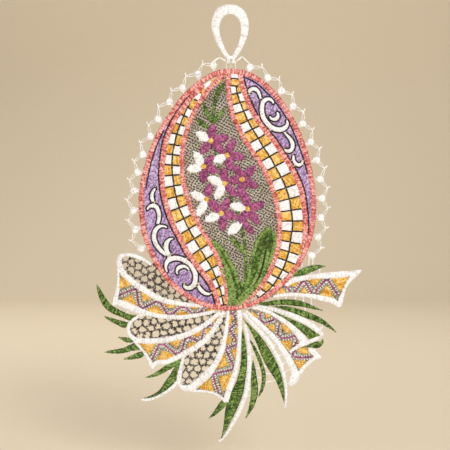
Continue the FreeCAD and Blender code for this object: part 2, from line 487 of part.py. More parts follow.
# Each ribbon: white satin edges as (route, width), the patch of ground that they frame,
# yellow triangles, and the routes of its magenta zigzag.
RIBBONS = {
    "upper_left": {
        "edges": [
            ([(-26.9, -86.6), (-28.6, -85.3), (-30.6, -84.3), (-33.0, -83.4), (-35.6, -83.1),
              (-37.4, -83.6), (-38.0, -85.0), (-37.7, -87.2), (-36.6, -89.4), (-34.4, -91.6),
              (-32.0, -93.5), (-29.2, -95.3), (-26.2, -97.2), (-23.0, -98.7), (-19.6, -99.5),
              (-16.0, -100.1), (-12.6, -100.5), (-9.0, -100.7)],
             (0.6, 1.2, 1.2, 1.9, 1.9, 2.0, 1.9, 1.5, 1.0)),
            ([(-38.3, -87.5), (-38.3, -91.0), (-38.4, -94.0), (-38.9, -97.0), (-40.2, -100.6)],
             (0.9, 0.7, 1.0, 1.4, 0.5)),
            ([(-40.3, -100.5), (-37.8, -99.7), (-35.4, -100.7), (-32.6, -101.8), (-29.6, -102.8),
              (-26.2, -103.8), (-22.6, -104.4), (-19.0, -104.6), (-15.0, -104.5), (-11.2, -103.9),
              (-7.6, -103.2), (-5.0, -102.4)],
             (0.5, 2.6, 2.6, 2.0, 1.4, 1.5, 1.5, 1.4, 1.2, 0.8))],
        "ground": [[(-38.2, -88.0), (-36.4, -89.9), (-34.0, -92.0), (-31.0, -94.2), (-28.0, -96.2),
                    (-24.6, -98.1), (-21.0, -99.3), (-16.0, -100.1), (-9.0, -100.7), (-4.5, -102.2)],
                   [(-4.5, -102.2), (-9.0, -103.5), (-15.0, -104.5), (-20.0, -104.5), (-26.0, -103.8),
                    (-31.0, -102.3), (-35.4, -100.7), (-39.4, -99.7)],
                   [(-39.4, -99.7), (-38.5, -95.0), (-38.2, -88.0)]],
        "yellow": [
            [(-37.2, -90.3), (-33.9, -93.5), (-38.2, -95.0), (-37.9, -92.5)],
            [(-33.7, -96.8), (-31.8, -100.6), (-33.0, -100.8), (-37.1, -98.4)],
            [(-30.6, -95.5), (-26.1, -98.1), (-29.8, -99.1)],
            [(-28.9, -102.0), (-26.1, -100.9), (-24.6, -100.9), (-22.1, -103.7), (-25.5, -103.6)],
            [(-23.0, -99.9), (-18.0, -100.6), (-19.6, -101.5), (-21.0, -101.3)],
            [(-19.3, -104.0), (-17.1, -102.6), (-15.5, -102.5), (-13.8, -104.0), (-16.5, -104.3)],
            [(-13.6, -100.8), (-10.2, -100.9), (-11.4, -101.7), (-12.7, -101.7)],
            [(-8.6, -103.2), (-7.6, -102.0), (-5.6, -101.6), (-3.8, -102.1), (-6.0, -102.7)]],
        "zigzag": [
            [(-37.9, -97.0), (-33.1, -94.9), (-32.2, -94.9), (-31.2, -100.5), (-29.9, -101.6),
             (-25.0, -99.1), (-24.1, -99.3), (-21.4, -103.4), (-19.6, -103.5), (-16.8, -101.1),
             (-15.1, -101.2), (-13.0, -103.3)],
            [(-10.9, -103.2), (-9.8, -102.6), (-9.0, -101.2)]]},
    "middle_left": {
        "edges": [
            ([(-28.8, -103.5), (-30.8, -104.0), (-32.6, -105.1), (-34.2, -106.7), (-34.9, -108.4),
              (-34.3, -110.6), (-32.6, -112.2), (-30.0, -112.8), (-26.0, -112.8), (-22.0, -112.5),
              (-18.4, -111.7), (-15.0, -110.7), (-12.0, -109.3), (-9.4, -107.9), (-7.0, -106.2),
              (-5.0, -104.5), (-3.2, -102.8)],
             (0.9, 1.1, 1.1, 1.4, 1.9, 1.9, 1.8, 1.8, 1.6, 1.2)),
            ([(-32.8, -112.8), (-31.2, -114.6), (-29.4, -116.7), (-28.0, -118.8), (-26.8, -121.4),
              (-26.4, -122.5)], (1.0, 0.8, 1.0, 1.4, 0.9)),
            ([(-26.5, -121.6), (-25.2, -120.4), (-22.4, -120.1), (-19.8, -119.3), (-17.4, -118.2),
              (-15.0, -116.9), (-12.4, -115.4), (-10.0, -113.8), (-8.0, -112.1), (-6.2, -110.0),
              (-4.6, -107.6), (-3.2, -105.2), (-1.9, -102.6)],
             (1.0, 1.8, 1.7, 1.8, 2.0, 1.9, 1.7, 1.5, 1.2))],
        "ground": [[(-32.8, -112.6), (-30.0, -112.8), (-26.0, -112.8), (-22.0, -112.5), (-18.4, -111.7),
                    (-15.0, -110.7), (-12.0, -109.3), (-9.4, -107.9), (-7.0, -106.2), (-5.0, -104.5),
                    (-3.2, -102.8)],
                   [(-1.9, -102.6), (-3.2, -105.2), (-4.6, -107.6), (-6.2, -110.0), (-8.0, -112.1),
                    (-10.0, -113.8), (-12.4, -115.4), (-15.0, -116.9), (-17.4, -118.2), (-19.8, -119.3),
                    (-22.4, -120.1), (-26.5, -121.0)],
                   [(-26.5, -121.0), (-28.0, -118.8), (-29.4, -116.7), (-31.2, -114.6), (-32.8, -112.6)]],
        "yellow": [
            [(-31.2, -113.5), (-25.2, -113.5), (-27.3, -117.5), (-29.0, -116.2)],
            [(-22.9, -116.2), (-21.8, -116.2), (-18.8, -117.7), (-21.0, -119.3), (-25.4, -119.6)],
            [(-20.7, -113.4), (-16.0, -111.9), (-18.2, -115.1)],
            [(-13.9, -113.5), (-11.3, -113.2), (-12.8, -115.0), (-15.0, -116.1)],
            [(-13.2, -110.9), (-9.4, -108.9), (-10.0, -110.6), (-11.4, -111.4)],
            [(-8.3, -108.9), (-5.8, -108.0), (-7.0, -110.2), (-8.3, -111.2)],
            [(-5.7, -106.1), (-3.9, -104.2), (-2.5, -102.2), (-2.1, -102.6), (-3.3, -104.9), (-4.6, -106.9)]],
        "zigzag": [
            [(-26.5, -119.0), (-24.4, -114.4), (-23.8, -113.9), (-22.6, -114.0), (-18.7, -117.1),
             (-17.2, -116.9), (-16.4, -115.9), (-15.3, -112.3), (-14.0, -111.5), (-10.7, -112.9)],
            [(-9.6, -112.2), (-9.2, -110.6), (-8.8, -108.3)],
            [(-7.4, -107.4), (-6.2, -107.5), (-5.0, -107.3)]]},
    "lower_left": {
        "edges": [
            ([(-15.6, -117.6), (-16.2, -119.8), (-16.7, -122.2), (-17.3, -125.2), (-17.4, -127.6)],
             (1.0, 1.1, 1.3, 1.6, 1.4)),
            ([(-0.4, -102.4), (-0.7, -106.0), (-1.1, -109.0), (-1.6, -112.0), (-2.3, -115.0),
              (-3.3, -117.8), (-4.6, -120.4), (-6.3, -122.8), (-8.3, -125.0), (-10.5, -126.9),
              (-12.9, -128.6), (-15.2, -129.1), (-17.2, -127.8)],
             (0.9, 1.2, 1.5, 1.9, 2.0, 2.6, 2.7, 2.2, 1.2)),
            ([(-14.5, -129.6), (-10.5, -130.1), (-7.6, -130.3), (-5.0, -131.0), (-3.0, -132.2),
              (-1.2, -133.9)], (0.9, 0.8, 0.7, 1.0)),
            ([(3.3, -102.2), (3.6, -106.0), (3.6, -110.0), (3.4, -114.0), (3.1, -117.6), (2.5, -121.2),
              (1.7, -124.6), (0.5, -127.8), (-0.4, -130.6), (-1.2, -133.9)],
             (1.6, 1.3, 1.3, 1.6, 2.2, 1.8))],
        "ground": [[(-0.5, -102.4), (-0.7, -106.0), (-1.1, -109.0), (-1.6, -112.0), (-2.3, -115.0),
                    (-3.3, -117.8), (-4.6, -120.4), (-6.3, -122.8), (-8.3, -125.0), (-10.5, -126.9),
                    (-13.5, -129.4)],
                   [(-13.5, -129.4), (-10.5, -130.1), (-7.6, -130.3), (-5.0, -131.0), (-1.4, -133.3)],
                   [(-1.4, -133.3), (-0.4, -130.6), (0.5, -127.8), (1.7, -124.6), (2.5, -121.2),
                    (3.1, -117.6), (3.4, -114.0), (3.6, -110.0), (3.6, -106.0), (3.3, -102.2)]],
        "yellow": [
            [(-0.4, -103.8), (0.9, -104.1), (1.3, -105.5), (0.3, -107.3), (-0.4, -107.5)],
            [(3.3, -107.6), (3.2, -111.4), (1.8, -109.2)],
            [(-0.2, -110.4), (0.9, -112.3), (0.0, -114.0), (-1.4, -114.2)],
            [(3.1, -115.0), (1.7, -115.4), (0.9, -116.3), (1.9, -119.4), (2.8, -119.0)],
            [(-1.6, -117.0), (-1.1, -119.0), (-0.3, -121.1), (-5.2, -122.8), (-3.2, -119.0)],
            [(1.5, -123.1), (0.9, -126.0), (-0.4, -128.5), (-2.2, -130.4), (-2.9, -128.5), (-3.6, -125.8),
             (-3.2, -125.0), (-0.8, -124.4)],
            [(-6.7, -125.0), (-5.3, -130.5), (-8.5, -130.3), (-11.0, -128.3)]],
        "zigzag": [
            [(0.0, -102.9), (1.5, -103.8), (2.1, -105.0)],
            [(2.6, -106.7), (0.2, -108.4), (0.2, -109.0), (2.6, -112.7)],
            [(2.4, -114.0), (-1.1, -115.5), (-1.1, -116.3), (1.4, -121.1), (1.2, -122.6), (-5.3, -124.1),
             (-5.6, -124.7), (-3.7, -130.8)]]},
    "lower_right": {
        "edges": [
            ([(5.6, -102.6), (7.5, -104.3), (10.0, -106.5), (12.5, -108.8), (14.8, -111.1),
              (16.8, -113.5), (18.6, -116.1), (20.2, -118.6), (21.3, -120.8), (22.3, -123.2),
              (22.6, -125.0), (21.6, -127.0), (20.7, -128.0)],
             (1.3, 1.5, 1.6, 1.8, 2.2, 2.5, 3.3, 1.2)),
            ([(8.0, -101.4), (11.0, -101.9), (14.0, -103.1), (17.0, -104.7), (19.8, -106.6),
              (22.2, -108.7), (24.2, -110.9), (25.6, -113.2)],
             (1.0, 1.1, 1.2, 1.5, 1.9, 2.4, 2.6)),
            ([(32.0, -111.0), (30.2, -111.9), (28.4, -112.7), (26.2, -113.7), (24.0, -114.6),
              (22.2, -115.6), (20.9, -116.8)], (0.9, 1.3, 1.4, 1.2, 0.9)),
            ([(27.2, -115.9), (28.8, -116.4), (29.9, -117.6), (31.7, -118.4)], (1.4, 2.0, 1.6, 0.5)),
            ([(31.4, -118.5), (29.3, -118.8), (27.4, -120.3), (26.0, -121.6), (24.8, -123.1),
              (23.7, -124.8)], (0.6, 1.2, 1.1, 1.2, 1.4, 1.6))],
        "ground": [[(6.0, -102.0), (10.0, -106.5), (14.8, -111.1), (18.6, -116.1), (21.3, -120.8),
                    (23.7, -124.5)],
                   [(23.7, -124.5), (26.0, -121.6), (29.0, -119.0)],
                   [(29.0, -119.0), (28.6, -115.3)],
                   [(28.6, -115.3), (24.4, -115.0)],
                   [(24.4, -115.0), (26.6, -113.6)],
                   [(26.6, -113.6), (24.2, -110.9), (22.2, -108.7), (19.8, -106.6), (17.0, -104.7),
                    (14.0, -103.1), (11.0, -101.9), (8.0, -101.4)]],
        "yellow": [
            [(6.4, -102.6), (8.4, -102.8), (9.6, -104.0), (9.9, -105.3), (7.9, -104.6)],
            [(12.1, -103.0), (14.6, -104.4), (12.7, -104.9)],
            [(12.3, -107.0), (15.2, -107.1), (16.0, -109.8), (14.4, -109.0)],
            [(17.6, -106.3), (19.8, -107.4), (21.8, -110.0), (19.4, -109.9), (18.2, -108.4)],
            [(17.7, -112.7), (21.7, -112.8), (20.8, -116.4), (19.2, -115.0)],
            [(24.2, -112.6), (25.2, -113.3), (23.8, -113.9)],
            [(23.5, -116.3), (23.9, -115.2), (26.8, -115.2), (27.9, -117.2), (25.2, -117.2)],
            [(22.2, -119.4), (26.3, -119.6), (25.6, -121.4), (24.4, -122.8), (23.4, -121.6)]],
        "zigzag": [
            [(10.6, -102.8), (10.8, -105.6), (12.1, -106.6), (15.8, -105.3)],
            [(17.3, -106.5), (16.7, -110.3), (17.9, -111.9), (20.3, -111.7), (22.8, -110.9)],
            [(23.6, -111.7), (23.1, -113.3), (22.3, -114.7)],
            [(22.6, -116.0), (21.8, -116.9), (22.2, -118.3), (25.0, -118.6), (28.2, -118.2)]]},
    "upper_right": {
        "edges": [
            ([(19.5, -93.9), (21.3, -92.4), (23.4, -91.5), (26.0, -91.0), (29.0, -90.6), (32.5, -90.3),
              (36.0, -90.1), (39.5, -89.8), (42.6, -89.4), (45.4, -88.4)],
             (1.2, 1.6, 1.6, 1.8, 2.2, 2.0, 0.5)),
            ([(45.2, -88.6), (42.4, -90.8), (40.4, -93.4), (39.2, -96.2), (38.4, -98.8), (38.0, -101.1)],
             (0.6, 1.5, 0.9, 1.0, 1.6, 0.8)),
            ([(15.2, -97.6), (18.4, -97.0), (22.0, -96.8), (25.5, -97.0), (29.0, -97.4), (32.5, -98.2),
              (35.4, -98.9), (38.0, -101.0)],
             (0.9, 1.3, 1.3, 1.5, 2.2, 1.2))],
        "ground": [[(17.0, -94.5), (21.3, -92.4), (26.0, -91.0), (32.5, -90.3), (39.5, -89.8),
                    (42.8, -90.4)],
                   [(42.8, -90.4), (40.4, -93.4), (39.2, -96.2), (38.2, -99.4)],
                   [(38.2, -99.4), (35.4, -98.9), (32.5, -98.2), (29.0, -97.4), (25.5, -97.0),
                    (22.0, -96.8), (18.4, -97.0), (14.0, -97.9)]],
        "yellow": [
            [(20.8, -93.6), (21.6, -93.0), (24.0, -92.2), (22.7, -94.1)],
            [(27.0, -91.4), (32.2, -91.1), (30.5, -92.9), (28.9, -93.9)],
            [(35.2, -91.2), (41.4, -90.6), (40.2, -93.2), (39.0, -95.4), (37.4, -94.9)],
            [(16.0, -97.2), (16.5, -95.8), (18.4, -94.6), (19.6, -95.6), (19.0, -96.7)],
            [(24.3, -96.7), (25.1, -94.9), (26.1, -94.5), (27.4, -96.7)],
            [(31.1, -97.2), (33.2, -93.8), (34.4, -94.2), (36.2, -97.8)]],
        "zigzag": [
            [(19.7, -94.0), (21.3, -96.0)],
            [(22.7, -95.9), (25.0, -92.5), (26.0, -92.2), (28.4, -96.0)],
            [(29.8, -96.1), (30.4, -94.8), (33.3, -91.7), (34.2, -91.9), (37.1, -96.6)]]}}
ZIGZAG_WIDTH = 0.50

# Reverse side of a ribbon, an oval of open lace: its outline under the white edges
LACE = {
    "upper_left": [[(-24.5, -86.0), (-28.6, -85.3), (-30.6, -84.3), (-33.0, -83.4), (-35.6, -83.1),
                    (-37.4, -83.6), (-38.0, -85.0), (-37.7, -87.2), (-36.6, -89.4), (-34.4, -91.6),
                    (-32.0, -93.5), (-29.2, -95.3), (-26.2, -97.2), (-23.0, -98.7), (-19.6, -99.5),
                    (-16.0, -100.1), (-12.0, -100.0)]],
    "middle_left": [[(-4.4, -101.8), (-9.0, -103.6), (-15.0, -104.5), (-20.0, -104.7), (-25.0, -104.1),
                     (-28.8, -103.5), (-32.6, -105.1), (-34.2, -106.7), (-34.9, -108.4), (-34.3, -110.6),
                     (-32.6, -112.2), (-30.0, -112.8), (-26.0, -112.8), (-22.0, -112.5), (-18.4, -111.7),
                     (-15.0, -110.7), (-12.0, -109.3), (-9.4, -107.9), (-7.0, -106.2), (-3.2, -102.8)]],
    "lower_left": [[(-0.8, -102.0), (-0.7, -106.0), (-1.1, -109.0), (-1.6, -112.0), (-2.3, -115.0),
                    (-3.3, -117.8), (-4.6, -120.4), (-6.3, -122.8), (-8.3, -125.0), (-10.5, -126.9),
                    (-12.9, -128.6), (-15.2, -129.1), (-17.2, -127.8)],
                   [(-17.2, -127.8), (-17.3, -125.2), (-16.7, -122.2), (-16.2, -119.8), (-15.6, -117.6)],
                   [(-15.6, -117.6), (-12.4, -115.4), (-10.0, -113.8), (-8.0, -112.1), (-6.2, -110.0),
                    (-4.6, -107.6), (-3.2, -105.2), (-1.9, -102.6)]]}


def thick_zigzag(corners):
    """Zigzag of straight cords with round joints."""
    pieces = [bar(a, b, ZIGZAG_WIDTH) for a, b in zip(corners, corners[1:])]
    pieces += [disc(corner, ZIGZAG_WIDTH / 2) for corner in corners]
    return joined(pieces)


# ---------------------------------------------------------------- leaf blades

# Upper or outer side, then the way back, of each plain blade
LEFT_BLADES = [
    ([(-45.7, -93.4), (-44.3, -95.3), (-42.8, -97.8), (-41.2, -99.9), (-39.3, -101.4), (-36.9, -102.7),
      (-34.6, -103.6), (-32.0, -103.9)],
     [(-32.0, -103.9), (-33.2, -105.0), (-34.4, -105.6), (-36.4, -104.9), (-39.0, -103.9),
      (-41.4, -102.6), (-43.3, -100.9), (-44.7, -98.3), (-45.4, -95.9), (-45.7, -93.4)]),
    ([(-43.2, -104.2), (-40.6, -104.9), (-38.0, -105.6), (-35.2, -106.3)],
     [(-35.2, -106.3), (-35.0, -107.4), (-36.0, -108.2), (-38.6, -107.2), (-41.2, -105.9), (-43.2, -104.2)]),
    ([(-38.2, -111.4), (-35.8, -111.6), (-34.0, -112.0), (-33.2, -112.9)],
     [(-33.2, -112.9), (-34.2, -113.3), (-36.2, -112.9), (-38.2, -111.4)]),
    ([(-43.1, -116.7), (-40.6, -116.0), (-37.8, -115.5), (-35.2, -114.6), (-33.0, -113.6),
      (-31.2, -114.4)],
     [(-31.2, -114.4), (-30.6, -115.4), (-33.0, -116.1), (-36.2, -116.9), (-39.8, -117.1),
      (-43.1, -116.7)]),
    ([(-36.4, -119.0), (-34.2, -118.0), (-32.0, -117.0), (-30.2, -116.5), (-29.2, -117.4)],
     [(-29.2, -117.4), (-30.0, -118.3), (-32.2, -118.9), (-34.6, -119.2), (-36.4, -119.0)]),
    ([(-29.0, -125.3), (-26.2, -124.1), (-23.6, -122.4), (-20.8, -120.7), (-18.0, -119.5),
      (-15.6, -118.4)],
     [(-15.6, -118.4), (-16.6, -120.4), (-18.8, -121.7), (-21.6, -123.2), (-24.6, -124.7),
      (-29.0, -125.3)]),
    ([(-29.6, -132.5), (-26.6, -131.4), (-24.2, -129.8), (-22.4, -127.2), (-20.4, -124.4),
      (-18.6, -121.6), (-17.0, -120.3)],
     [(-17.0, -120.3), (-16.8, -122.8), (-17.6, -125.6), (-19.4, -127.9), (-21.8, -129.9),
      (-25.2, -131.7), (-29.6, -132.5)]),
    ([(-7.2, -139.5), (-5.6, -137.5), (-4.2, -135.3), (-2.6, -133.4), (-1.2, -133.4)],
     [(-1.2, -133.4), (-1.2, -134.9), (-2.8, -136.6), (-4.8, -138.3), (-7.2, -139.5)])]
RIGHT_BLADES = [
    ([(21.4, -90.4), (24.0, -88.4), (26.6, -87.2), (29.4, -86.6), (33.1, -87.1)],
     [(33.1, -87.1), (30.2, -88.2), (27.2, -89.5), (24.2, -90.4), (21.4, -90.4)]),
    ([(9.0, -99.6), (13.0, -99.3), (17.0, -98.6), (21.0, -98.5), (25.0, -99.1), (28.8, -100.7),
      (32.5, -102.4)],
     [(32.5, -102.4), (28.6, -101.7), (25.0, -101.0), (21.0, -100.5), (17.0, -100.3), (13.0, -100.6),
      (9.0, -99.6)]),
    ([(14.8, -100.8), (19.0, -100.8), (23.0, -101.5), (27.0, -102.8), (31.0, -104.6), (34.4, -107.1),
      (36.9, -109.9)],
     [(36.9, -109.9), (33.6, -107.9), (30.4, -106.3), (26.6, -105.0), (22.6, -103.4), (18.6, -101.9),
      (14.8, -100.8)]),
    ([(8.2, -119.4), (9.0, -122.6), (9.6, -126.4), (9.9, -130.2), (8.8, -134.6), (5.6, -139.6)],
     [(5.6, -139.6), (6.9, -135.0), (7.5, -130.4), (7.5, -126.4), (7.6, -122.6), (8.2, -119.4)]),
    ([(6.6, -111.6), (9.3, -115.5), (11.2, -119.6), (12.5, -124.2), (12.2, -128.2), (10.0, -132.1)],
     [(10.0, -132.1), (11.0, -128.2), (11.2, -124.6), (10.1, -120.2), (8.3, -115.6), (6.6, -111.6)]),
    ([(24.3, -115.1), (26.4, -114.4), (28.4, -113.6), (30.2, -113.0), (31.2, -113.1), (32.2, -112.0)],
     [(32.2, -112.0), (32.0, -114.2), (30.6, -115.2), (28.4, -115.1), (26.4, -115.0), (24.3, -115.1)])]
EDGED_BLADES = [
    ([(4.6, -108.8), (5.4, -112.4), (5.9, -116.4), (6.1, -120.4), (5.6, -125.4), (4.9, -130.2),
      (3.3, -134.8), (1.0, -139.5), (-0.8, -143.0), (-3.0, -146.6)],
     [(-3.0, -146.6), (-2.1, -143.0), (-1.7, -139.0), (-1.2, -135.6), (0.2, -131.4), (2.2, -127.3),
      (3.5, -123.2), (4.1, -118.6), (4.2, -113.6), (4.6, -108.8)]),
    ([(4.4, -104.8), (7.6, -107.9), (10.6, -111.1), (13.4, -115.0), (15.8, -119.2), (17.7, -123.9),
      (18.8, -128.8), (18.9, -134.0)],
     [(18.9, -134.0), (17.8, -130.8), (16.2, -126.8), (13.8, -123.0), (11.6, -118.9), (9.8, -114.6),
      (7.4, -109.4), (4.4, -104.8)]),
    ([(14.8, -102.6), (18.6, -104.1), (22.4, -105.7), (26.2, -107.6), (29.2, -109.5), (31.3, -110.9)],
     [(31.3, -110.9), (29.6, -111.5), (27.7, -112.3)],
     [(27.7, -112.3), (26.2, -110.8), (24.2, -109.0), (21.6, -106.9), (18.4, -104.8), (14.8, -102.6)])]
BLADE_EDGES = [
    ([(5.4, -107.0), (6.1, -110.6), (6.7, -114.4), (6.9, -118.4), (6.9, -122.4), (6.5, -126.6),
      (5.8, -130.6), (4.6, -134.2), (3.0, -138.0), (1.2, -141.2), (-0.8, -144.6), (-3.8, -147.6)],
     (0.9, 1.3, 1.5, 1.5, 1.5, 1.4, 1.1, 0.5)),
    ([(4.6, -103.2), (7.6, -106.4), (10.8, -109.8), (13.5, -113.0), (15.8, -116.8), (17.7, -121.0),
      (19.0, -125.4), (19.5, -129.6), (19.5, -133.0), (19.2, -135.8)],
     (0.9, 1.4, 1.5, 1.4, 1.1, 0.8, 0.5)),
    ([(9.4, -100.9), (13.0, -101.4), (17.0, -102.5), (21.0, -103.8), (24.8, -105.4), (28.0, -107.2),
      (30.6, -109.2), (32.3, -110.9)],
     (0.8, 1.1, 1.4, 2.0, 2.1, 1.8, 0.8)),
    ([(-17.8, -126.8), (-19.4, -128.5), (-21.8, -130.4), (-24.6, -132.0), (-27.4, -132.9),
      (-30.3, -133.0)],
     (1.2, 1.1, 1.0, 0.9, 0.6))]


# Thin bars of white thread that tie neighbouring motifs together
TIES = [((28.2, -88.4), (28.1, -90.4)), ((31.0, -87.4), (31.3, -90.0)),
        ((27.6, -84.0), (27.2, -87.4)), ((28.8, -84.0), (28.8, -87.2)),
        ((25.2, -85.0), (25.0, -88.0)), ((19.5, -97.0), (19.5, -99.0)),
        ((22.8, -97.0), (22.8, -99.2)), ((25.5, -97.2), (25.6, -99.6)),
        ((28.2, -97.6), (28.4, -101.0)), ((16.8, -97.0), (16.8, -99.0)),
        ((26.0, -100.6), (26.2, -102.8)), ((22.4, -103.0), (22.2, -104.2)),
        ((28.8, -105.2), (28.6, -107.8)), ((32.1, -106.4), (32.0, -108.2)), ((32.0, -108.2), (30.4, -109.0)),
        ((-38.7, -103.6), (-38.5, -105.8)), ((-35.4, -105.0), (-35.6, -106.6)),
        ((-35.0, -112.6), (-34.4, -114.6)), ((-34.2, -116.0), (-33.2, -117.8)),
        ((-29.6, -117.2), (-28.6, -117.4)), ((-35.2, -101.2), (-35.0, -103.8)),
        ((-21.4, -122.8), (-19.2, -124.6)), ((-34.2, -104.6), (-33.6, -105.6)),
        ((13.0, -111.8), (14.6, -110.9)), ((15.0, -114.6), (16.8, -113.4)),
        ((16.6, -118.4), (18.8, -116.8)), ((17.8, -121.4), (20.2, -119.4)),
        ((18.6, -124.0), (21.2, -122.2)), ((9.2, -107.8), (10.0, -106.6)),
        ((6.8, -113.2), (8.4, -113.2)), ((6.9, -117.4), (9.6, -117.4)), ((6.9, -121.6), (8.4, -121.6)),
        ((6.6, -125.6), (8.0, -125.6)), ((6.2, -129.4), (8.0, -129.4)), ((5.6, -131.8), (8.0, -131.8)),
        ((8.9, -113.8), (10.8, -113.0)), ((9.8, -116.0), (11.0, -116.0)), ((9.4, -122.2), (10.8, -122.2)),
        ((9.2, -125.4), (11.4, -125.4)), ((9.6, -128.6), (11.4, -128.6)), ((11.8, -121.4), (13.6, -121.8)),
        ((12.2, -124.2), (14.8, -124.0)), ((14.0, -126.7), (16.6, -126.5)), ((14.0, -126.7), (12.2, -127.4))]


# ---------------------------------------------------------------- building the nodes

def build_band(side, inside, parts):
    """Coral edges, black grid and both colours of square for one band."""
    if side == "left":
        centre, across, out_route, in_route = LEFT_CENTRE, LEFT_ACROSS, LEFT_BAND_OUT, LEFT_BAND_IN
        outer = side_strip(out_route, 0.0, BAND_OUTER)
        inner = side_strip(in_route, -BAND_INNER, 0.0)
        extra = []
    else:
        centre, across, out_route, in_route = RIGHT_CENTRE, RIGHT_ACROSS, RIGHT_BAND_OUT, RIGHT_BAND_IN
        outer = side_strip(out_route, -BAND_OUTER, 0.0)
        inner = side_strip(in_route, 0.0, BAND_INNER)
        extra = [bar(*CROWN_LINE, BLACK * 0.85)]
    inner = inner.common(inside)
    if side == "left":
        inner = inner.cut([parts["right_band_inner_edge"]])
    outer = outer.common(inside).cut([inner])
    edges = [outer, inner]
    grid = band_grid(centre, across, extra).common(inside).cut(edges)
    colours = {"yellow": [], "white": []}
    for (column, station), cell in band_cells(centre, across).items():
        # Column 0 of the left band and column 0 of the right band start on opposite colours
        odd = (column + station + (1 if side == "left" else 0)) % 2
        colours["yellow" if odd else "white"].append(cell)
    for colour, corners in CROWN_SQUARES[side]:
        colours[colour].append(polygon(*corners))
    taken = []
    for colour in ("yellow", "white"):
        squares = []
        for cell in colours[colour]:
            squares += cell.common(inside).cut(edges + [grid]).Faces
        squares = separated(squares, taken)
        parts[side + "_" + colour + "_squares"] = Part.makeCompound(squares)
        taken += squares
    parts[side + "_band_outer_edge"] = outer
    parts[side + "_band_inner_edge"] = inner
    parts[side + "_band_grid"] = grid


def separated(faces, taken):
    """The same faces with any overlap with an earlier or a taken face cut away."""
    kept = []
    for face in faces:
        near = [other for other in taken + kept if face.common(other).Area > 0]
        kept += face.cut(near).Faces if near else [face]
    return kept


def build_panel(side, inside, parts):
    """Lilac panel with its black edge lines, white scrolls and their black outlines."""
    if side == "left":
        edge, near, far, scrolls = LEFT_BAND_OUT, -0.05 - BLACK, -0.05, LEFT_SCROLLS
        cover = side_strip(LEFT_BAND_OUT, -12.0, -0.05 - BLACK / 2)
        rim = [(-19.0, -34.0), (-21.8, -38.4), (-23.9, -42.8), (-26.0, -48.0), (-27.5, -53.6),
               (-28.8, -60.0)]
    else:
        edge, near, far, scrolls = RIGHT_BAND_OUT, 0.05, 0.05 + BLACK, RIGHT_SCROLLS
        cover = side_strip(RIGHT_BAND_OUT, 0.05 + BLACK / 2, 12.0)
        rim = [(5.2, -21.9), (9.2, -23.9), (13.2, -27.5), (17.0, -31.9), (20.4, -37.2), (23.2, -43.4),
               (25.4, -49.6), (26.9, -55.0)]
    band = [parts[side + name] for name in ("_band_outer_edge", "_band_grid", "_white_squares",
                                            "_yellow_squares")]
    white, wider = scrollwork(scrolls)
    scroll = joined(white).common(inside).cut(band)
    lines = joined(wider + [side_strip(edge, near, far), strip(rim, BLACK * 0.7)])
    lines = lines.common(inside).cut(band + [scroll])
    parts[side + "_scrolls"] = scroll
    parts[side + "_blackwork"] = lines
    parts[side + "_lilac_panel"] = cover.common(inside).cut(band + [scroll, lines])


def build_centre(inside, parts):
    """Net ground with leaves, stems and flowers let into it."""
    edges = [parts[name] for name in ("left_band_inner_edge", "right_band_inner_edge")]
    stamens = group([disc(centre, STAMEN_RADIUS) for centre in FLOWERS])
    magenta = joined(petals(0)).cut([stamens])
    white = joined(petals(1)).cut([stamens, magenta])
    flowers = [stamens, magenta, white]
    veins = joined([strip(route, BLACK * 0.8) for route in LEAF_VEINS]).common(inside).cut(edges)
    leaves = bottom_leaves().common(inside).cut(edges + [veins])
    stem = joined(stems()).cut(flowers + [leaves, veins])
    top = joined(top_leaves()).cut(flowers + edges)
    ground = area(LEFT_BAND_IN[1:-2], [LEFT_BAND_IN[-3], RIGHT_BAND_IN[-3]], RIGHT_BAND_IN[-3:0:-1])
    squares = [parts["left_yellow_squares"], parts["left_white_squares"]]
    ground = ground.common(inside).cut(edges + flowers + [veins, leaves, stem, top] + squares)
    parts["stamens"] = stamens
    parts["magenta_petals"] = magenta
    parts["white_petals"] = white
    parts["leaf_veins"] = veins
    parts["bottom_leaves"] = leaves
    parts["flower_stems"] = stem
    parts["top_leaves"] = top
    parts["net_ground"] = ground


def build_ribbons(egg, parts):
    """White edges, grounds, yellow triangles and zigzags of the five ribbons, and the lace ovals."""
    whites = []
    for name, ribbon in RIBBONS.items():
        edge = joined([strip(route, width) for route, width in ribbon["edges"]]).cut([egg] + whites)
        parts[name + "_ribbon_edge"] = edge
        whites.append(edge)
    blade_edge = joined([strip(route, width) for route, width in BLADE_EDGES]).cut([egg] + whites)
    parts["blade_edges"] = blade_edge
    whites.append(blade_edge)
    triangles = []
    for name, ribbon in RIBBONS.items():
        zigzag = joined([thick_zigzag(corners) for corners in ribbon["zigzag"]]).cut([egg] + whites)
        yellow = group([polygon(*corners) for corners in ribbon["yellow"]]).cut([egg, zigzag] + whites)
        triangles.append(yellow)
        ground = area(*ribbon["ground"]).cut([egg, zigzag, yellow] + whites)
        parts[name + "_zigzag"] = zigzag
        parts[name + "_triangles"] = yellow
        parts[name + "_net"] = ground
    for name, sides in LACE.items():
        parts[name + "_lace"] = area(*sides).cut([egg] + whites + triangles)
    return whites


def build_blades(egg, whites, parts):
    laid = [egg] + whites
    for name, blades in (("left_blades", LEFT_BLADES), ("right_blades", RIGHT_BLADES),
                         ("edged_blades", EDGED_BLADES)):
        shape = joined([area(*sides) for sides in blades]).cut(laid)
        parts[name] = shape
        laid = laid + [shape]
    return laid


THICKNESS = {"net": NET, "lace": NET, "panel": FILL, "squares": FILL, "triangles": FILL, "grid": LINE,
             "blackwork": LINE, "veins": LINE, "ground": NET, "petals": PETAL, "stamens": DOT,
             "bottom_leaves": FILL, "zigzag": LINE}


def thickness_of(name):
    if name in THICKNESS:
        return THICKNESS[name]
    return THICKNESS.get(name.split("_")[-1], SATIN)


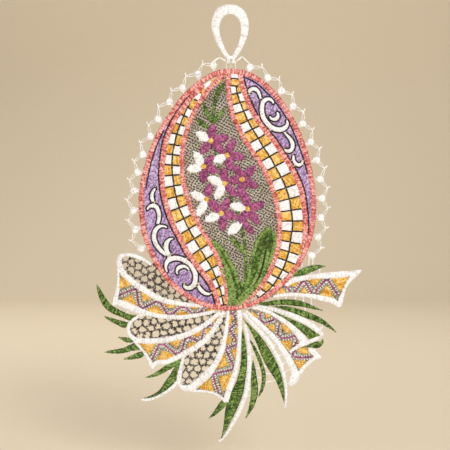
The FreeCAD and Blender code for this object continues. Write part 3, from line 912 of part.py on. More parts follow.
def main():
    os.makedirs("parts", exist_ok=True)
    egg = blob(EGG_OUTER)
    inside = blob(offset_closed(EGG_OUTER, BORDER))
    border = egg.cut(inside)
    parts = {"outer_border": border}
    build_band("right", inside, parts)
    build_band("left", inside, parts)
    build_panel("left", inside, parts)
    build_panel("right", inside, parts)
    build_centre(inside, parts)
    whites = build_ribbons(egg, parts)
    laid = build_blades(egg, whites, parts)
    beads = group(picot_beads()).cut(laid)
    parts["picot_beads"] = beads
    threads = picot_threads(LEFT_BEADS, (-3.4, -15.2)) + picot_threads(RIGHT_BEADS, (4.4, -14.9))
    threads += [bar((-3.4, -15.2), (-1.4, -16.4)), bar((4.4, -14.9), (2.5, -16.4))]
    crown = crown_bar(plate(border, SATIN))
    threads = joined(threads).cut(laid + [beads])
    solid_shapes = {name: plate(shape, thickness_of(name)) for name, shape in parts.items()}
    solid_shapes["picot_threads"] = plate(threads, BAR).cut([crown])
    ties = joined([bar(a, b) for a, b in TIES]).cut(laid + [beads, threads])
    solid_shapes["tie_bars"] = plate(ties, BAR)
    solid_shapes["hang_loop"] = hang_loop()
    solid_shapes["loop_foot"] = loop_foot()
    solid_shapes["crown_bar"] = crown
    for name, shape in solid_shapes.items():
        save(name, shape)
    print(len(solid_shapes), "nodes")


main()
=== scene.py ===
import bpy
import math
import random
import numpy as np
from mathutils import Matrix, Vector


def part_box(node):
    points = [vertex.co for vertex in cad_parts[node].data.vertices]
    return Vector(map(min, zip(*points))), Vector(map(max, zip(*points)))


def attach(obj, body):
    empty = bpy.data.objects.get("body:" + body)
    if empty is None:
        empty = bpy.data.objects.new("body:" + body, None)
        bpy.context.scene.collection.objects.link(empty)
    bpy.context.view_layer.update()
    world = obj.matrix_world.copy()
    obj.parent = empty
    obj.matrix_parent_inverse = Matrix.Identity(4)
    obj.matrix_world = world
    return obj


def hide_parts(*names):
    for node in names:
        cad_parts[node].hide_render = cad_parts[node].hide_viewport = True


# The flat solids of the CAD model give each motif its outline and thickness. This script lays the
# thread inside those outlines: satin columns, filling rows, outline stitches, nets and lace, each
# stitch a closed strand that shows on both faces. A stitch is four numbers, x and z of its start and
# of its end. Lengths are millimetres until the mesh is made, and the stage is in metres.
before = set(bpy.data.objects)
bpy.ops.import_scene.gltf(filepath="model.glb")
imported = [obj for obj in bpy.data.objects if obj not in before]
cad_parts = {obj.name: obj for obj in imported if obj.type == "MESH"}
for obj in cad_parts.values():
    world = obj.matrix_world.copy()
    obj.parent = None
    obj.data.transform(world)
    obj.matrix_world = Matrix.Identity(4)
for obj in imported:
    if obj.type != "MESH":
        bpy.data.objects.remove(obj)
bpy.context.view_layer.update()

MM = 0.001
PITCH = 0.36          # spacing of laid threads
SHORTEST = 0.08       # no stitch is shorter
SHORTEST_ROW = 0.15   # no filling row or dash is shorter
SPECK = 0.02          # loops of a smaller area, in square millimetres, are left out
WELD = 200            # corners are one where they agree to 1/200 mm
TINY = 1e-9           # keeps a divisor from being zero
RIBBONS = ("upper_left", "middle_left", "lower_left", "lower_right", "upper_right")
OVALS = ("upper_left", "middle_left", "lower_left")
SIDES = ("left", "right")
dice = random.Random(11)
noise = np.random.default_rng(5)


# ---------------------------------------------------------------- outlines of the CAD nodes

def front_loops(node):
    """Loops round the front faces of a flat node: anticlockwise outside, clockwise round a hole."""
    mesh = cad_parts[node].data
    facing_front = -0.9
    spots = {}
    flat = []
    ids = []
    for vertex in mesh.vertices:
        x, z = vertex.co.x / MM, vertex.co.z / MM
        key = (round(x * WELD), round(z * WELD))
        if key not in spots:
            spots[key] = len(flat)
            flat.append((x, z))
        ids.append(spots[key])
    edges = set()
    for polygon in mesh.polygons:
        if polygon.normal.y > facing_front:
            continue
        corners = [ids[i] for i in polygon.vertices]
        for a, b in zip(corners, corners[1:] + corners[:1]):
            if (b, a) in edges:
                edges.remove((b, a))
            elif a != b:
                edges.add((a, b))
    follow = {}
    for a, b in sorted(edges):
        follow.setdefault(a, []).append(b)
    loops = []
    while follow:
        start = min(follow)
        loop = [start]
        here = start
        while here in follow:
            onward = follow[here].pop()
            if not follow[here]:
                del follow[here]
            if onward == start:
                break
            loop.append(onward)
            here = onward
        if len(loop) > 2:
            loops.append(np.array([flat[i] for i in loop]))
    return loops


def signed_area(loop):
    """Area inside a loop, negative for one that runs clockwise."""
    x, z = loop[:, 0], loop[:, 1]
    return 0.5 * float(np.sum(x * np.roll(z, -1) - z * np.roll(x, -1)))


def islands(loops):
    """The loops sorted into islands: one outer loop with the holes in it."""
    outers = [[loop] for loop in loops if signed_area(loop) > SPECK]
    for loop in loops:
        if signed_area(loop) < -SPECK:
            for island in outers:
                if inside(loop[:1], [island[0]])[0]:
                    island.append(loop)
                    break
    return outers


def sides_of(loops):
    """Start and span of every side of some loops."""
    starts = np.concatenate(loops)
    ends = np.concatenate([np.roll(loop, -1, axis=0) for loop in loops])
    return starts, ends - starts


def cross(a, b):
    return a[..., 0] * b[..., 1] - a[..., 1] * b[..., 0]


def inside(points, loops):
    """Whether each point lies inside an outline, by the sides to its right."""
    starts, spans = sides_of(loops)
    ends = starts + spans
    result = []
    for x, z in points:
        over = (starts[:, 1] > z) != (ends[:, 1] > z)
        at = starts[over, 0] + (z - starts[over, 1]) / spans[over, 1] * spans[over, 0]
        result.append(np.count_nonzero(at > x) % 2 == 1)
    return np.array(result, bool)


def met(spot, course, starts, spans):
    """Where a line from a spot meets the sides of an outline, counted in lengths of its course."""
    across = cross(course, spans)
    across = np.where(np.abs(across) < TINY, TINY, across)
    gap = starts - spot
    distance = cross(gap, spans) / across
    share = cross(gap, course) / across
    return distance[(share >= 0) & (share <= 1)]


def lengths_of(spans):
    """Length of each span, never quite zero."""
    return np.maximum(np.hypot(spans[:, 0], spans[:, 1]), TINY)


def asides(spans):
    """Unit vectors square to the spans, on their left."""
    return np.stack([-spans[:, 1], spans[:, 0]], axis=1) / lengths_of(spans)[:, None]


def resample(loop, step):
    """Even points round a loop, and the smoothed inward direction at each."""
    fewest = 6
    smoothing = 0.35
    spans = np.roll(loop, -1, axis=0) - loop
    lengths = lengths_of(spans)
    keep = lengths > TINY
    loop, spans, lengths = loop[keep], spans[keep], lengths[keep]
    reach = np.concatenate([[0.0], np.cumsum(lengths)])
    count = max(int(reach[-1] / step), fewest)
    places = np.linspace(0.0, reach[-1], count, endpoint=False)
    at = np.clip(np.searchsorted(reach, places, side="right") - 1, 0, len(lengths) - 1)
    points = loop[at] + spans[at] * ((places - reach[at]) / lengths[at])[:, None]
    window = max(1, int(smoothing / step))
    along = np.roll(points, -window, axis=0) - np.roll(points, window, axis=0)
    return points, asides(along)


def long_side(loop):
    """Direction of a loop's greatest extent."""
    coarse = 0.4
    points = resample(loop, coarse)[0]
    centred = points - points.mean(axis=0)
    vectors = np.linalg.eigh(centred.T @ centred)[1]
    return math.atan2(vectors[1, 1], vectors[0, 1])


# ---------------------------------------------------------------- ways of laying thread

def as_stitches(lines):
    return np.array(lines).reshape(-1, 4)


def turned(vector, angle):
    c, s = math.cos(angle), math.sin(angle)
    return np.array([vector[0] * c - vector[1] * s, vector[0] * s + vector[1] * c])


def satin(loops, longest, pitch=PITCH, slant=0.0):
    """Stitches straight across a column, evenly spaced along its middle line."""
    tries = 5                     # starting spots for each pitch along the edge
    closest = pitch * 0.97        # between the middles of two stitches
    checked = (0.12, 0.5, 0.88)   # places along a stitch that have to lie inside
    starts, spans = sides_of(loops)
    taken = {}
    stitches = []
    for loop in sorted(loops, key=len, reverse=True):
        for spot, inward in zip(*resample(loop, pitch / tries)):
            course = turned(inward, slant)
            hits = met(spot, course, starts, spans)
            hits = hits[hits > SHORTEST]
            if not len(hits) or hits.min() > longest:
                continue
            end = spot + course * hits.min()
            middle = (spot + end) / 2
            cell = (int(middle[0] // pitch), int(middle[1] // pitch))
            near = [other for i in (-1, 0, 1) for j in (-1, 0, 1)
                    for other in taken.get((cell[0] + i, cell[1] + j), [])]
            if any(np.hypot(*(other - middle)) < closest for other in near):
                continue
            taken.setdefault(cell, []).append(middle)
            stitches.append((*spot, *end))
    stitches = as_stitches(stitches)
    for share in checked:
        points = stitches[:, :2] * (1 - share) + stitches[:, 2:] * share
        stitches = stitches[inside(points, loops)]
    return stitches


def rows(loops, angle, pitch=PITCH):
    """Parallel stitches across an outline, cut to the inside, each after the number of its row."""
    c, s = math.cos(angle), math.sin(angle)
    lay = np.array([[c, -s], [s, c]])
    starts, spans = sides_of([loop @ lay for loop in loops])
    ends = starts + spans
    first = starts[:, 1].min() + pitch * 0.45
    last = starts[:, 1].max()
    lines = []
    for number, level in enumerate(np.arange(first, last, pitch)):
        over = (starts[:, 1] > level) != (ends[:, 1] > level)
        at = starts[over, 0] + (level - starts[over, 1]) / spans[over, 1] * spans[over, 0]
        at = np.sort(at)
        for a, b in zip(at[::2], at[1::2]):
            if b - a > SHORTEST_ROW:
                lines.append((number, *(lay @ (a, level)), *(lay @ (b, level))))
    return lines


def row_stitches(loops, angle, pitch):
    """The rows without their numbers."""
    return as_stitches([line[1:] for line in rows(loops, angle, pitch)])


def part_of(stitch, start, end):
    """The part of a stitch between two distances from its start."""
    ax, az, bx, bz = stitch
    length = math.hypot(bx - ax, bz - az)
    return (ax + (bx - ax) * start / length, az + (bz - az) * start / length,
            ax + (bx - ax) * end / length, az + (bz - az) * end / length)


def tatami(loops, angle, stitch):
    """Filling rows of short stitches, staggered from row to row."""
    stagger = 3           # rows until the stagger repeats
    jitter = 0.2
    margin = 0.3          # from a cut to either end of its row
    stitches = []
    for number, *line in rows(loops, angle):
        length = math.hypot(line[2] - line[0], line[3] - line[1])
        first = (number % stagger) / stagger * stitch + dice.uniform(-jitter, jitter)
        between = [c for c in np.arange(first, length, stitch) if margin < c < length - margin]
        cuts = [0.0] + between + [length]
        for start, end in zip(cuts, cuts[1:]):
            stitches.append(part_of(line, start, end))
    return as_stitches(stitches)


def dashes(lines, dash, gap):
    """Lines cut into dashes, every second line shifted by half a dash and gap."""
    cut = []
    for number, line in enumerate(lines):
        length = math.hypot(line[2] - line[0], line[3] - line[1])
        place = -(number % 2) * (dash + gap) / 2
        while place < length:
            start, end = max(place, 0.0), min(place + dash, length)
            if end - start > SHORTEST_ROW:
                cut.append(part_of(line, start, end))
            place += dash + gap
    return as_stitches(cut)


def trimmed(lines, loops):
    """The parts of straight lines that lie inside an outline."""
    starts, spans = sides_of(loops)
    kept = []
    for ax, az, bx, bz in lines:
        course = np.array([bx - ax, bz - az])
        hits = met(np.array([ax, az]), course, starts, spans)
        hits = hits[(hits > 0) & (hits < 1)]
        cuts = np.concatenate([[0.0], np.sort(hits), [1.0]])
        middles = np.array([(ax, az)]) + ((cuts[1:] + cuts[:-1]) / 2)[:, None] * course
        for start, end, held in zip(cuts, cuts[1:], inside(middles, loops)):
            if held and (end - start) * np.hypot(*course) > SHORTEST:
                kept.append((ax + course[0] * start, az + course[1] * start,
                             ax + course[0] * end, az + course[1] * end))
    return as_stitches(kept)


def along_middle(chords, length):
    """Stitches along the middle line of a narrow column, from the chords across it."""
    middle = (chords[:, :2] + chords[:, 2:]) / 2
    lay = asides(chords[:, 2:] - chords[:, :2]) * length / 2
    return np.concatenate([middle - lay, middle + lay], axis=1)


def stretched(stitches, extra, rough):
    """Stitches run past both ends, unevenly, as satin does at its edges."""
    span = stitches[:, 2:] - stitches[:, :2]
    unit = span / lengths_of(span)[:, None]
    over = extra + noise.uniform(-rough, rough, (len(stitches), 2))
    starts = stitches[:, :2] - unit * over[:, :1]
    ends = stitches[:, 2:] + unit * over[:, 1:]
    return np.concatenate([starts, ends], axis=1)


def wandering(stitches, most):
    """Stitches whose ends stray a little."""
    return stitches + noise.uniform(-most, most, stitches.shape)


# ---------------------------------------------------------------- strands of thread

# Forms of a laid stitch: places along it, and at each the share of its rise and of its width.
ARCH = ((0.0, 0.06, 0.22, 0.5, 0.78, 0.94, 1.0),
        (0.0, 0.45, 0.85, 1.0, 0.85, 0.45, 0.0),
        (0.5, 0.85, 1.0, 1.0, 1.0, 0.85, 0.5))
LAID = ((0.0, 0.1, 0.5, 0.9, 1.0),
        (0.0, 0.75, 1.0, 0.75, 0.0),
        (0.5, 0.95, 1.0, 0.95, 0.5))

SECTION = ((1, 1), (0, 1), (-1, 1), (-1, -1), (0, -1), (1, -1))   # sideways and up
CORNERS = len(SECTION)
CAP = np.array([[0, 1, 2, 3], [0, 3, 4, 5]])   # the two faces that close a strand's end


class Strands:
    """Closed strands gathered into one mesh, each with its own shade and its place along the thread."""

    def __init__(self):
        self.points = []
        self.faces = []
        self.along = []
        self.shade = []
        self.count = 0

    def add(self, points, faces, along, shade):
        self.points.append(points)
        self.faces.append(faces + self.count)
        self.along.append(along)
        self.shade.append(shade)
        self.count += len(points)

    def lay(self, stitches, tall, low, width=PITCH, relief=0.12, form=ARCH, tone=(0.0, 1.0)):
        """Straight stitches: half their thickness is tall in the middle and low at the ends."""
        unevenness = 0.015
        overlap = 1.12        # a strand is wider than its share, so that neighbours touch
        deepest_relief = 0.9  # share of the half thickness that the rounding may take
        count = len(stitches)
        if not count:
            return
        at, rise, swell = (np.array(values) for values in form)
        rings = len(at)
        start, span = stitches[:, :2], stitches[:, 2:] - stitches[:, :2]
        aside = asides(span)
        tall = np.broadcast_to(np.asarray(tall, float), (count,))
        tall = tall + noise.uniform(-unevenness, unevenness, count)
        half = low + (tall[:, None] - low) * rise
        broad = width / 2 * overlap * swell * np.ones((count, 1))
        round_off = np.minimum(relief, half * deepest_relief)
        middle = start[:, None] + span[:, None] * at[:, None]
        points = np.empty((count, rings, CORNERS, 3))
        for place, (sideways, up) in enumerate(SECTION):
            shift = (broad * sideways)[..., None] * aside[:, None]
            points[:, :, place, 0] = middle[..., 0] + shift[..., 0]
            points[:, :, place, 2] = middle[..., 1] + shift[..., 1]
            depth = half if sideways == 0 else half - round_off
            points[:, :, place, 1] = -up * depth
        ring = np.arange(CORNERS)
        beside = (ring + 1) % CORNERS
        quads = []
        for i in range(rings - 1):
            here, onward = i * CORNERS, (i + 1) * CORNERS
            quads.append(np.stack([here + ring, here + beside, onward + beside, onward + ring], axis=1))
        quads = np.concatenate(quads + [CAP[:, ::-1], (rings - 1) * CORNERS + CAP])
        firsts = np.arange(count) * rings * CORNERS
        faces = (quads[None] + firsts[:, None, None]).reshape(-1, 4)
        along = np.broadcast_to(at[None, :, None], (count, rings, CORNERS)).reshape(-1)
        shade = np.repeat(noise.uniform(tone[0], tone[1], count), rings * CORNERS)
        self.add(points.reshape(-1, 3), faces, along, shade)

    def tube(self, route, radius, closed=False):
        """A round strand along 3-D points."""
        route = np.asarray(route, float)
        rings = len(route)
        if closed:
            ahead = np.roll(route, -1, axis=0) - np.roll(route, 1, axis=0)
        else:
            ahead = np.gradient(route, axis=0)
        ahead /= np.linalg.norm(ahead, axis=1)[:, None]
        up = np.array([0.0, 1.0, 0.0]) if abs(ahead[0][1]) < 0.9 else np.array([1.0, 0.0, 0.0])
        points = []
        for spot, course in zip(route, ahead):
            side = np.cross(course, up)
            side /= np.linalg.norm(side)
            up = np.cross(side, course)
            for k in range(CORNERS):
                turn = 2 * math.pi * k / CORNERS
                points.append(spot + radius * (math.cos(turn) * side + math.sin(turn) * up))
        faces = []
        for i in range(rings if closed else rings - 1):
            here, onward = i * CORNERS, (i + 1) % rings * CORNERS
            for k in range(CORNERS):
                m = (k + 1) % CORNERS
                faces.append((here + k, onward + k, onward + m, here + m))
        faces = np.array(faces)
        if not closed:
            faces = np.concatenate([faces, CAP, (rings - 1) * CORNERS + CAP[:, ::-1]])
        count = len(points)
        self.add(np.array(points), faces, np.full(count, 0.5), np.full(count, dice.uniform(0.0, 1.0)))

    def core(self, node, share):
        """The node's own solid, thinned, as the padding under the stitches, evenly dark with painted shade
        for the shade between the stitches.
        """
        # painted shade: a place near a stitch's end and a low tone make the padding dark where it shows
        # between the stitches
        painted_shade_along, painted_shade_tone = 0.1, 0.3
        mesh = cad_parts[node].data
        points = np.array([vertex.co for vertex in mesh.vertices]) / MM
        points[:, 1] *= share
        faces = []
        for polygon in mesh.polygons:
            corners = list(polygon.vertices)
            faces.append(corners + corners[-1:] * (4 - len(corners)))
        count = len(points)
        self.add(points, np.array(faces), np.full(count, painted_shade_along), np.full(count, painted_shade_tone))

    def mesh(self, name):
        """The mesh of all strands, in metres. A face whose last corner is doubled is a triangle."""
        points = np.concatenate(self.points) * MM
        faces = np.concatenate(self.faces).tolist()
        mesh = bpy.data.meshes.new(name)
        mesh.from_pydata(points.tolist(), [], [face[:3] if face[2] == face[3] else face for face in faces])
        for label, values in (("along", self.along), ("shade", self.shade)):
            layer = mesh.attributes.new(label, "FLOAT", "POINT")
            layer.data.foreach_set("value", np.concatenate(values).astype(np.float32))
        mesh.polygons.foreach_set("use_smooth", np.ones(len(mesh.polygons), bool))
        mesh.validate()
        mesh.update()
        return mesh


# ---------------------------------------------------------------- materials

def srgb(red, green, blue):
    """Linear colour of screen values from 0 to 255."""
    return tuple(((c / 255) / 12.92 if c <= 10 else ((c / 255 + 0.055) / 1.055) ** 2.4)
                 for c in (red, green, blue)) + (1.0,)


def blank_material(name, roughness):
    """A new material, with its nodes, links and surface."""
    material = bpy.data.materials.new(name)
    material.use_nodes = True
    nodes, links = material.node_tree.nodes, material.node_tree.links
    surface = nodes["Principled BSDF"]
    surface.inputs["Roughness"].default_value = roughness
    return material, nodes, links, surface


def clouds(nodes, links, place, scale, detail=2.0):
    """Cloudy noise laid out by the object's own coordinates."""
    node = nodes.new("ShaderNodeTexNoise")
    node.inputs["Scale"].default_value = scale
    node.inputs["Detail"].default_value = detail
    links.new(place.outputs["Object"], node.inputs["Vector"])
    return node.outputs["Fac"]


def colour_ramp(nodes, first, last, *others):
    """A colour ramp through stops, each a place and a colour."""
    node = nodes.new("ShaderNodeValToRGB")
    for element, (place, colour) in zip(node.color_ramp.elements, (first, last)):
        element.position = place
        element.color = colour
    for place, colour in others:
        node.color_ramp.elements.new(place).color = colour
    return node


# The tone varies by strand, patch and ply: partly the thread's own uneven colour, partly painted glints and
# shade of the twisted plies.
STRAND_SHARE = 0.28                               # how much the shade varies by strand,
PATCH_SCALE, PATCH_DETAIL, PATCH_SHARE = 280.0, 2.0, 0.28    # by patch,
PLY_SCALE, PLY_DETAIL, PLY_SHARE = 1900.0, 1.0, 0.84         # and by ply
DEEP_AT, MAIN_AT, LIGHT_AT = 0.50, 0.69, 0.88     # places of the three colours in their sum
# painted shade: over this share of a stitch at each end its colour is darkened towards edge, for the shade
# where it dives in
PAINTED_END_SHADE_REACH = 0.2            # share of a stitch, at each end, over which it darkens
FUZZ_SCALE = 5200.0
FUZZ_HEIGHT = 0.00008


def thread(name, deep, main, light, roughness=0.45, edge=0.7):
    """Twisted rayon thread: its tone varies by strand, by patch and by ply, partly at random and partly as
    painted glints and shade of the plies, and painted shade darkens each stitch towards both ends, where it
    dives in.
    """
    material, nodes, links, surface = blank_material(name, roughness)
    surface.inputs["Sheen Weight"].default_value = 0.15
    surface.inputs["Sheen Roughness"].default_value = 0.4
    surface.inputs["Specular IOR Level"].default_value = 0.35
    place = nodes.new("ShaderNodeTexCoord")

    def reading(label):
        node = nodes.new("ShaderNodeAttribute")
        node.attribute_name = label
        return node.outputs["Fac"]

    total = None
    for source, share in ((reading("shade"), STRAND_SHARE),
                          (clouds(nodes, links, place, PATCH_SCALE, PATCH_DETAIL), PATCH_SHARE),
                          (clouds(nodes, links, place, PLY_SCALE, PLY_DETAIL), PLY_SHARE)):
        part = nodes.new("ShaderNodeMath")
        part.operation = "MULTIPLY_ADD"
        part.inputs[1].default_value = share
        part.inputs[2].default_value = 0.0
        links.new(source, part.inputs[0])
        if total is not None:
            links.new(total, part.inputs[2])
        total = part.outputs[0]
    ramp = colour_ramp(nodes, (DEEP_AT, deep), (LIGHT_AT, light), (MAIN_AT, main))
    links.new(total, ramp.inputs["Fac"])
    # painted shade: the colour is multiplied by edge at both ends of a stitch and kept full in between
    dark, full = (edge, edge, edge, 1), (1, 1, 1, 1)
    ends = colour_ramp(nodes, (0.0, dark), (1.0, dark), (PAINTED_END_SHADE_REACH, full), (1.0 - PAINTED_END_SHADE_REACH, full))
    links.new(reading("along"), ends.inputs["Fac"])
    mix = nodes.new("ShaderNodeMix")
    mix.data_type = "RGBA"
    mix.blend_type = "MULTIPLY"
    mix.inputs["Factor"].default_value = 1.0
    links.new(ramp.outputs["Color"], mix.inputs["A"])
    links.new(ends.outputs["Color"], mix.inputs["B"])
    links.new(mix.outputs["Result"], surface.inputs["Base Color"])
    bump = nodes.new("ShaderNodeBump")
    bump.inputs["Strength"].default_value = 0.35
    bump.inputs["Distance"].default_value = FUZZ_HEIGHT
    links.new(clouds(nodes, links, place, FUZZ_SCALE), bump.inputs["Height"])
    links.new(bump.outputs["Normal"], surface.inputs["Normal"])
    return material


# edge sets how dark the painted shade at both ends of each stitch goes
MATERIALS = {
    "white_thread": thread(
        "white_rayon", srgb(226, 220, 216), srgb(252, 252, 252), srgb(255, 255, 255), edge=0.78),
    "coral_thread": thread(
        "coral_rayon", srgb(176, 70, 64), srgb(232, 138, 130), srgb(255, 204, 198), edge=0.6),
    "lilac_thread": thread(
        "lilac_rayon", srgb(124, 92, 142), srgb(176, 146, 194), srgb(222, 202, 236)),
    "black_thread": thread(
        "black_rayon", srgb(10, 5, 8), srgb(26, 15, 20), srgb(60, 42, 50)),
    "yellow_thread": thread(
        "yellow_rayon", srgb(200, 134, 26), srgb(234, 184, 74), srgb(250, 222, 150)),
    "magenta_thread": thread(
        "magenta_rayon", srgb(102, 34, 74), srgb(160, 74, 124), srgb(200, 118, 162)),
    "green_thread": thread(
        "green_rayon", srgb(32, 54, 6), srgb(78, 108, 30), srgb(150, 178, 96), edge=0.6),
    "net_thread": thread(
        "taupe_thread", srgb(132, 122, 106), srgb(176, 166, 148), srgb(212, 204, 188), roughness=0.6),
    "ribbon_net_thread": thread(
        "sage_thread", srgb(86, 84, 64), srgb(132, 128, 108), srgb(182, 178, 160), roughness=0.6),
}


# ---------------------------------------------------------------- the stitched pieces

PADDING = 0.5         # share of its node's thickness that the padding under stitches keeps
FILL_PADDING = 0.55   # the same under a filling


def half_thickness(node):
    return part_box(node)[1].y / MM


def stitched(strands, name, slot):
    """An object of the gathered strands, in the thread material of its slot."""
    thing = bpy.data.objects.new(name, strands.mesh(name))
    bpy.context.scene.collection.objects.link(thing)
    thing.data.materials.append(MATERIALS[slot])
    return thing


def piece(strands, node, slot, body="egg"):
    """The stitched piece that stands for a CAD node."""
    thing = stitched(strands, node + "_stitches", slot)
    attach(thing, body)
    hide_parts(node)


def extra_piece(strands, name, slot):
    """A stitched piece on the egg that stands for no CAD node."""
    thing = stitched(strands, name, slot)
    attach(thing, "egg")


def satin_piece(node, slot, longest, body="egg", extra=0.05, rough=0.09, slant=0.0, teeth=0.0):
    """Satin column; with teeth, every third stitch reaches past the edge."""
    half = half_thickness(node)
    strands = Strands()
    strands.core(node, PADDING)
    chords = stretched(satin(front_loops(node), longest, slant=slant), extra, rough)
    chords[::3] = stretched(chords[::3], teeth, teeth / 2)
    strands.lay(chords, tall=half, low=half * 0.28)
    piece(strands, node, slot, body)


def block_piece(node, slot, pitch=PITCH, dome=0.0):
    """Each island filled with satin rows along its own long side, lower round the rim with a dome."""
    half = half_thickness(node)
    strands = Strands()
    strands.core(node, PADDING)
    for island in islands(front_loops(node)):
        lines = row_stitches(island, long_side(island[0]), pitch)
        if not len(lines):
            continue
        lines = stretched(lines, extra=0.03, rough=0.07)
        tall = np.full(len(lines), half)
        if dome:
            middle = (lines[:, :2] + lines[:, 2:]) / 2
            off = np.hypot(*(middle - middle.mean(axis=0)).T)
            tall = half * (1 - dome * (off / max(off.max(), TINY)) ** 2)
        strands.lay(lines, tall=tall, low=half * 0.45, width=pitch)
    piece(strands, node, slot)


def fill_piece(node, slot, angle, stitch, rim=0.0):
    """Staggered filling rows, with a satin rim where one is asked for, painted paler as a highlight on its
    raised edge while the rows keep the deeper tones.
    """
    loops = front_loops(node)
    half = half_thickness(node)
    strands = Strands()
    strands.core(node, FILL_PADDING)
    # with a rim, the rows take only the deeper tones, against the rim's painted highlight
    strands.lay(tatami(loops, angle, stitch), tall=half * 0.95, low=half * 0.55, relief=0.1, form=LAID,
                tone=(0.0, 0.7) if rim else (0.0, 1.0))
    if rim:
        edge = []
        for loop in loops:
            for spot, inward in zip(*resample(loop, PITCH)):
                edge.append((*spot, *(spot + inward * rim)))
        # painted highlight: the rim's strands take the paler tones, for the light on its raised edge
        strands.lay(np.array(edge), tall=half * 1.6, low=half * 0.7, tone=(0.5, 1.3))
    piece(strands, node, slot)


def line_piece(node, slot, stitch=0.85, width=0.40, every=0.55):
    """Outline of short stitches laid end over end."""
    half = half_thickness(node)
    strands = Strands()
    chords = satin(front_loops(node), longest=0.75, pitch=every)
    lines = wandering(along_middle(chords, stitch), 0.06)
    strands.lay(lines, tall=half, low=half * 0.6, width=width, relief=0.14, form=LAID)
    piece(strands, node, slot)


def net_piece(node, slot, angles, runs):
    """Open net of crossing threads, with dark running stitches over it in each run's direction."""
    pitch = 0.5
    loops = front_loops(node)
    half = half_thickness(node)
    strands = Strands()
    for angle in angles:
        strands.lay(row_stitches(loops, angle, pitch), tall=half * 0.62, low=half * 0.62,
                    width=0.26, relief=0.1, form=LAID)
    piece(strands, node, slot)
    over = Strands()
    for angle, spacing, dash, gap in runs:
        lines = wandering(dashes(row_stitches(loops, angle, spacing), dash, gap), 0.07)
        over.lay(lines, tall=half * 1.1, low=half * 0.5, width=0.31, relief=0.12, form=LAID)
    extra_piece(over, node + "_dark_runs", "black_thread")


def whip_stitches(ribbon):
    """Short white stitches across both sides of a ribbon's zigzag."""
    near, far = 0.3, 1.05         # ends of a stitch, from the zigzag's middle line
    chords = satin(front_loops(ribbon + "_zigzag"), longest=0.9, pitch=0.85)
    middle = (chords[:, :2] + chords[:, 2:]) / 2
    span = chords[:, 2:] - chords[:, :2]
    way = span / lengths_of(span)[:, None]
    out = np.concatenate([np.concatenate([middle + way * near, middle + way * far], axis=1),
                          np.concatenate([middle - way * far, middle - way * near], axis=1)])
    strands = Strands()
    lines = wandering(trimmed(out, front_loops(ribbon + "_net")), 0.08)
    strands.lay(lines, tall=0.27, low=0.18, width=0.27, relief=0.1, form=LAID)
    extra_piece(strands, ribbon + "_whip_stitches", "white_thread")


LACE_CELL = 2.75      # from one cell of the lace to the next
LACE_ROW = 0.82       # from row to row, as a share of that
LACE_WIDE, LACE_TALL = 0.56, 0.54   # from a cell's middle to its knots, as shares of the same
LACE_MERGE = 0.9      # knots about this near to one another are one
LACE_JITTER = 0.28
LACE_THREADS = 4      # in each side of a cell, the first of them dark
LACE_BOW = 0.36
LACE_JOG = 0.3


def jittered(most):
    return np.array([dice.uniform(-most, most), dice.uniform(-most, most)])


def lace_net(lean, centre, reach):
    """Knots of uneven six-sided cells round a centre, by key, and the sides between their keys."""
    knots = {}
    sides = {}
    steps = int(reach / LACE_CELL) + 2
    for i in range(-steps, steps + 1):
        for j in range(-steps, steps + 1):
            cell_x = i * LACE_CELL + (j % 2) * LACE_CELL / 2
            cell_z = j * LACE_CELL * LACE_ROW
            ring = []
            for k in range(6):
                turn = math.radians(60 * k + 30)
                x = cell_x + math.cos(turn) * LACE_CELL * LACE_WIDE
                z = cell_z + math.sin(turn) * LACE_CELL * LACE_TALL
                key = (round(x / LACE_MERGE), round(z / LACE_MERGE))
                if key not in knots:
                    knots[key] = centre + turned((x, z) + jittered(LACE_JITTER), lean)
                ring.append(key)
            for a, b in zip(ring, ring[1:] + ring[:1]):
                if a != b and (b, a) not in sides:
                    sides[(a, b)] = None
    return knots, sides


def lace_piece(node, slot):
    """Lace of uneven cells, each side four loose threads, with dark ends at the knots."""
    loops = front_loops(node)
    half = half_thickness(node)
    outline = np.concatenate(loops)
    low, high = outline.min(axis=0) - LACE_CELL, outline.max(axis=0) + LACE_CELL
    lean = long_side(max(loops, key=len))
    reach = float(np.hypot(*(high - low))) / 2 + LACE_CELL
    knots, sides = lace_net(lean, (low + high) / 2, reach)
    pale = []
    dark = []
    for a, b in sides:
        start, end = knots[a], knots[b]
        aside = turned(end - start, math.pi / 2)
        aside = aside / max(np.hypot(*aside), TINY)
        for number in range(LACE_THREADS):
            bow = (start + end) / 2 + aside * dice.uniform(-LACE_BOW, LACE_BOW)
            start_jog, end_jog = jittered(LACE_JOG), jittered(LACE_JOG)
            group = dark if number == 0 else pale
            group.append((*(start + start_jog), *bow))
            group.append((*bow, *(end + end_jog)))
    for knot in dict.fromkeys(key for side in sides for key in side):
        for _ in range(dice.choice((3, 4, 6, 7))):
            spot = knots[knot] + jittered(0.5)
            heading = dice.uniform(0, math.pi)
            tip = np.array([math.cos(heading), math.sin(heading)]) * dice.uniform(0.25, 0.55)
            dark.append((*(spot - tip), *(spot + tip)))
    strands = Strands()
    strands.lay(trimmed(pale, loops), tall=half * 0.8, low=half * 0.6, width=0.24, relief=0.1, form=LAID)
    piece(strands, node, slot)
    over = Strands()
    over.lay(trimmed(dark, loops), tall=half * 1.05, low=half * 0.7, width=0.25, relief=0.1, form=LAID)
    extra_piece(over, node + "_dark_threads", "black_thread")


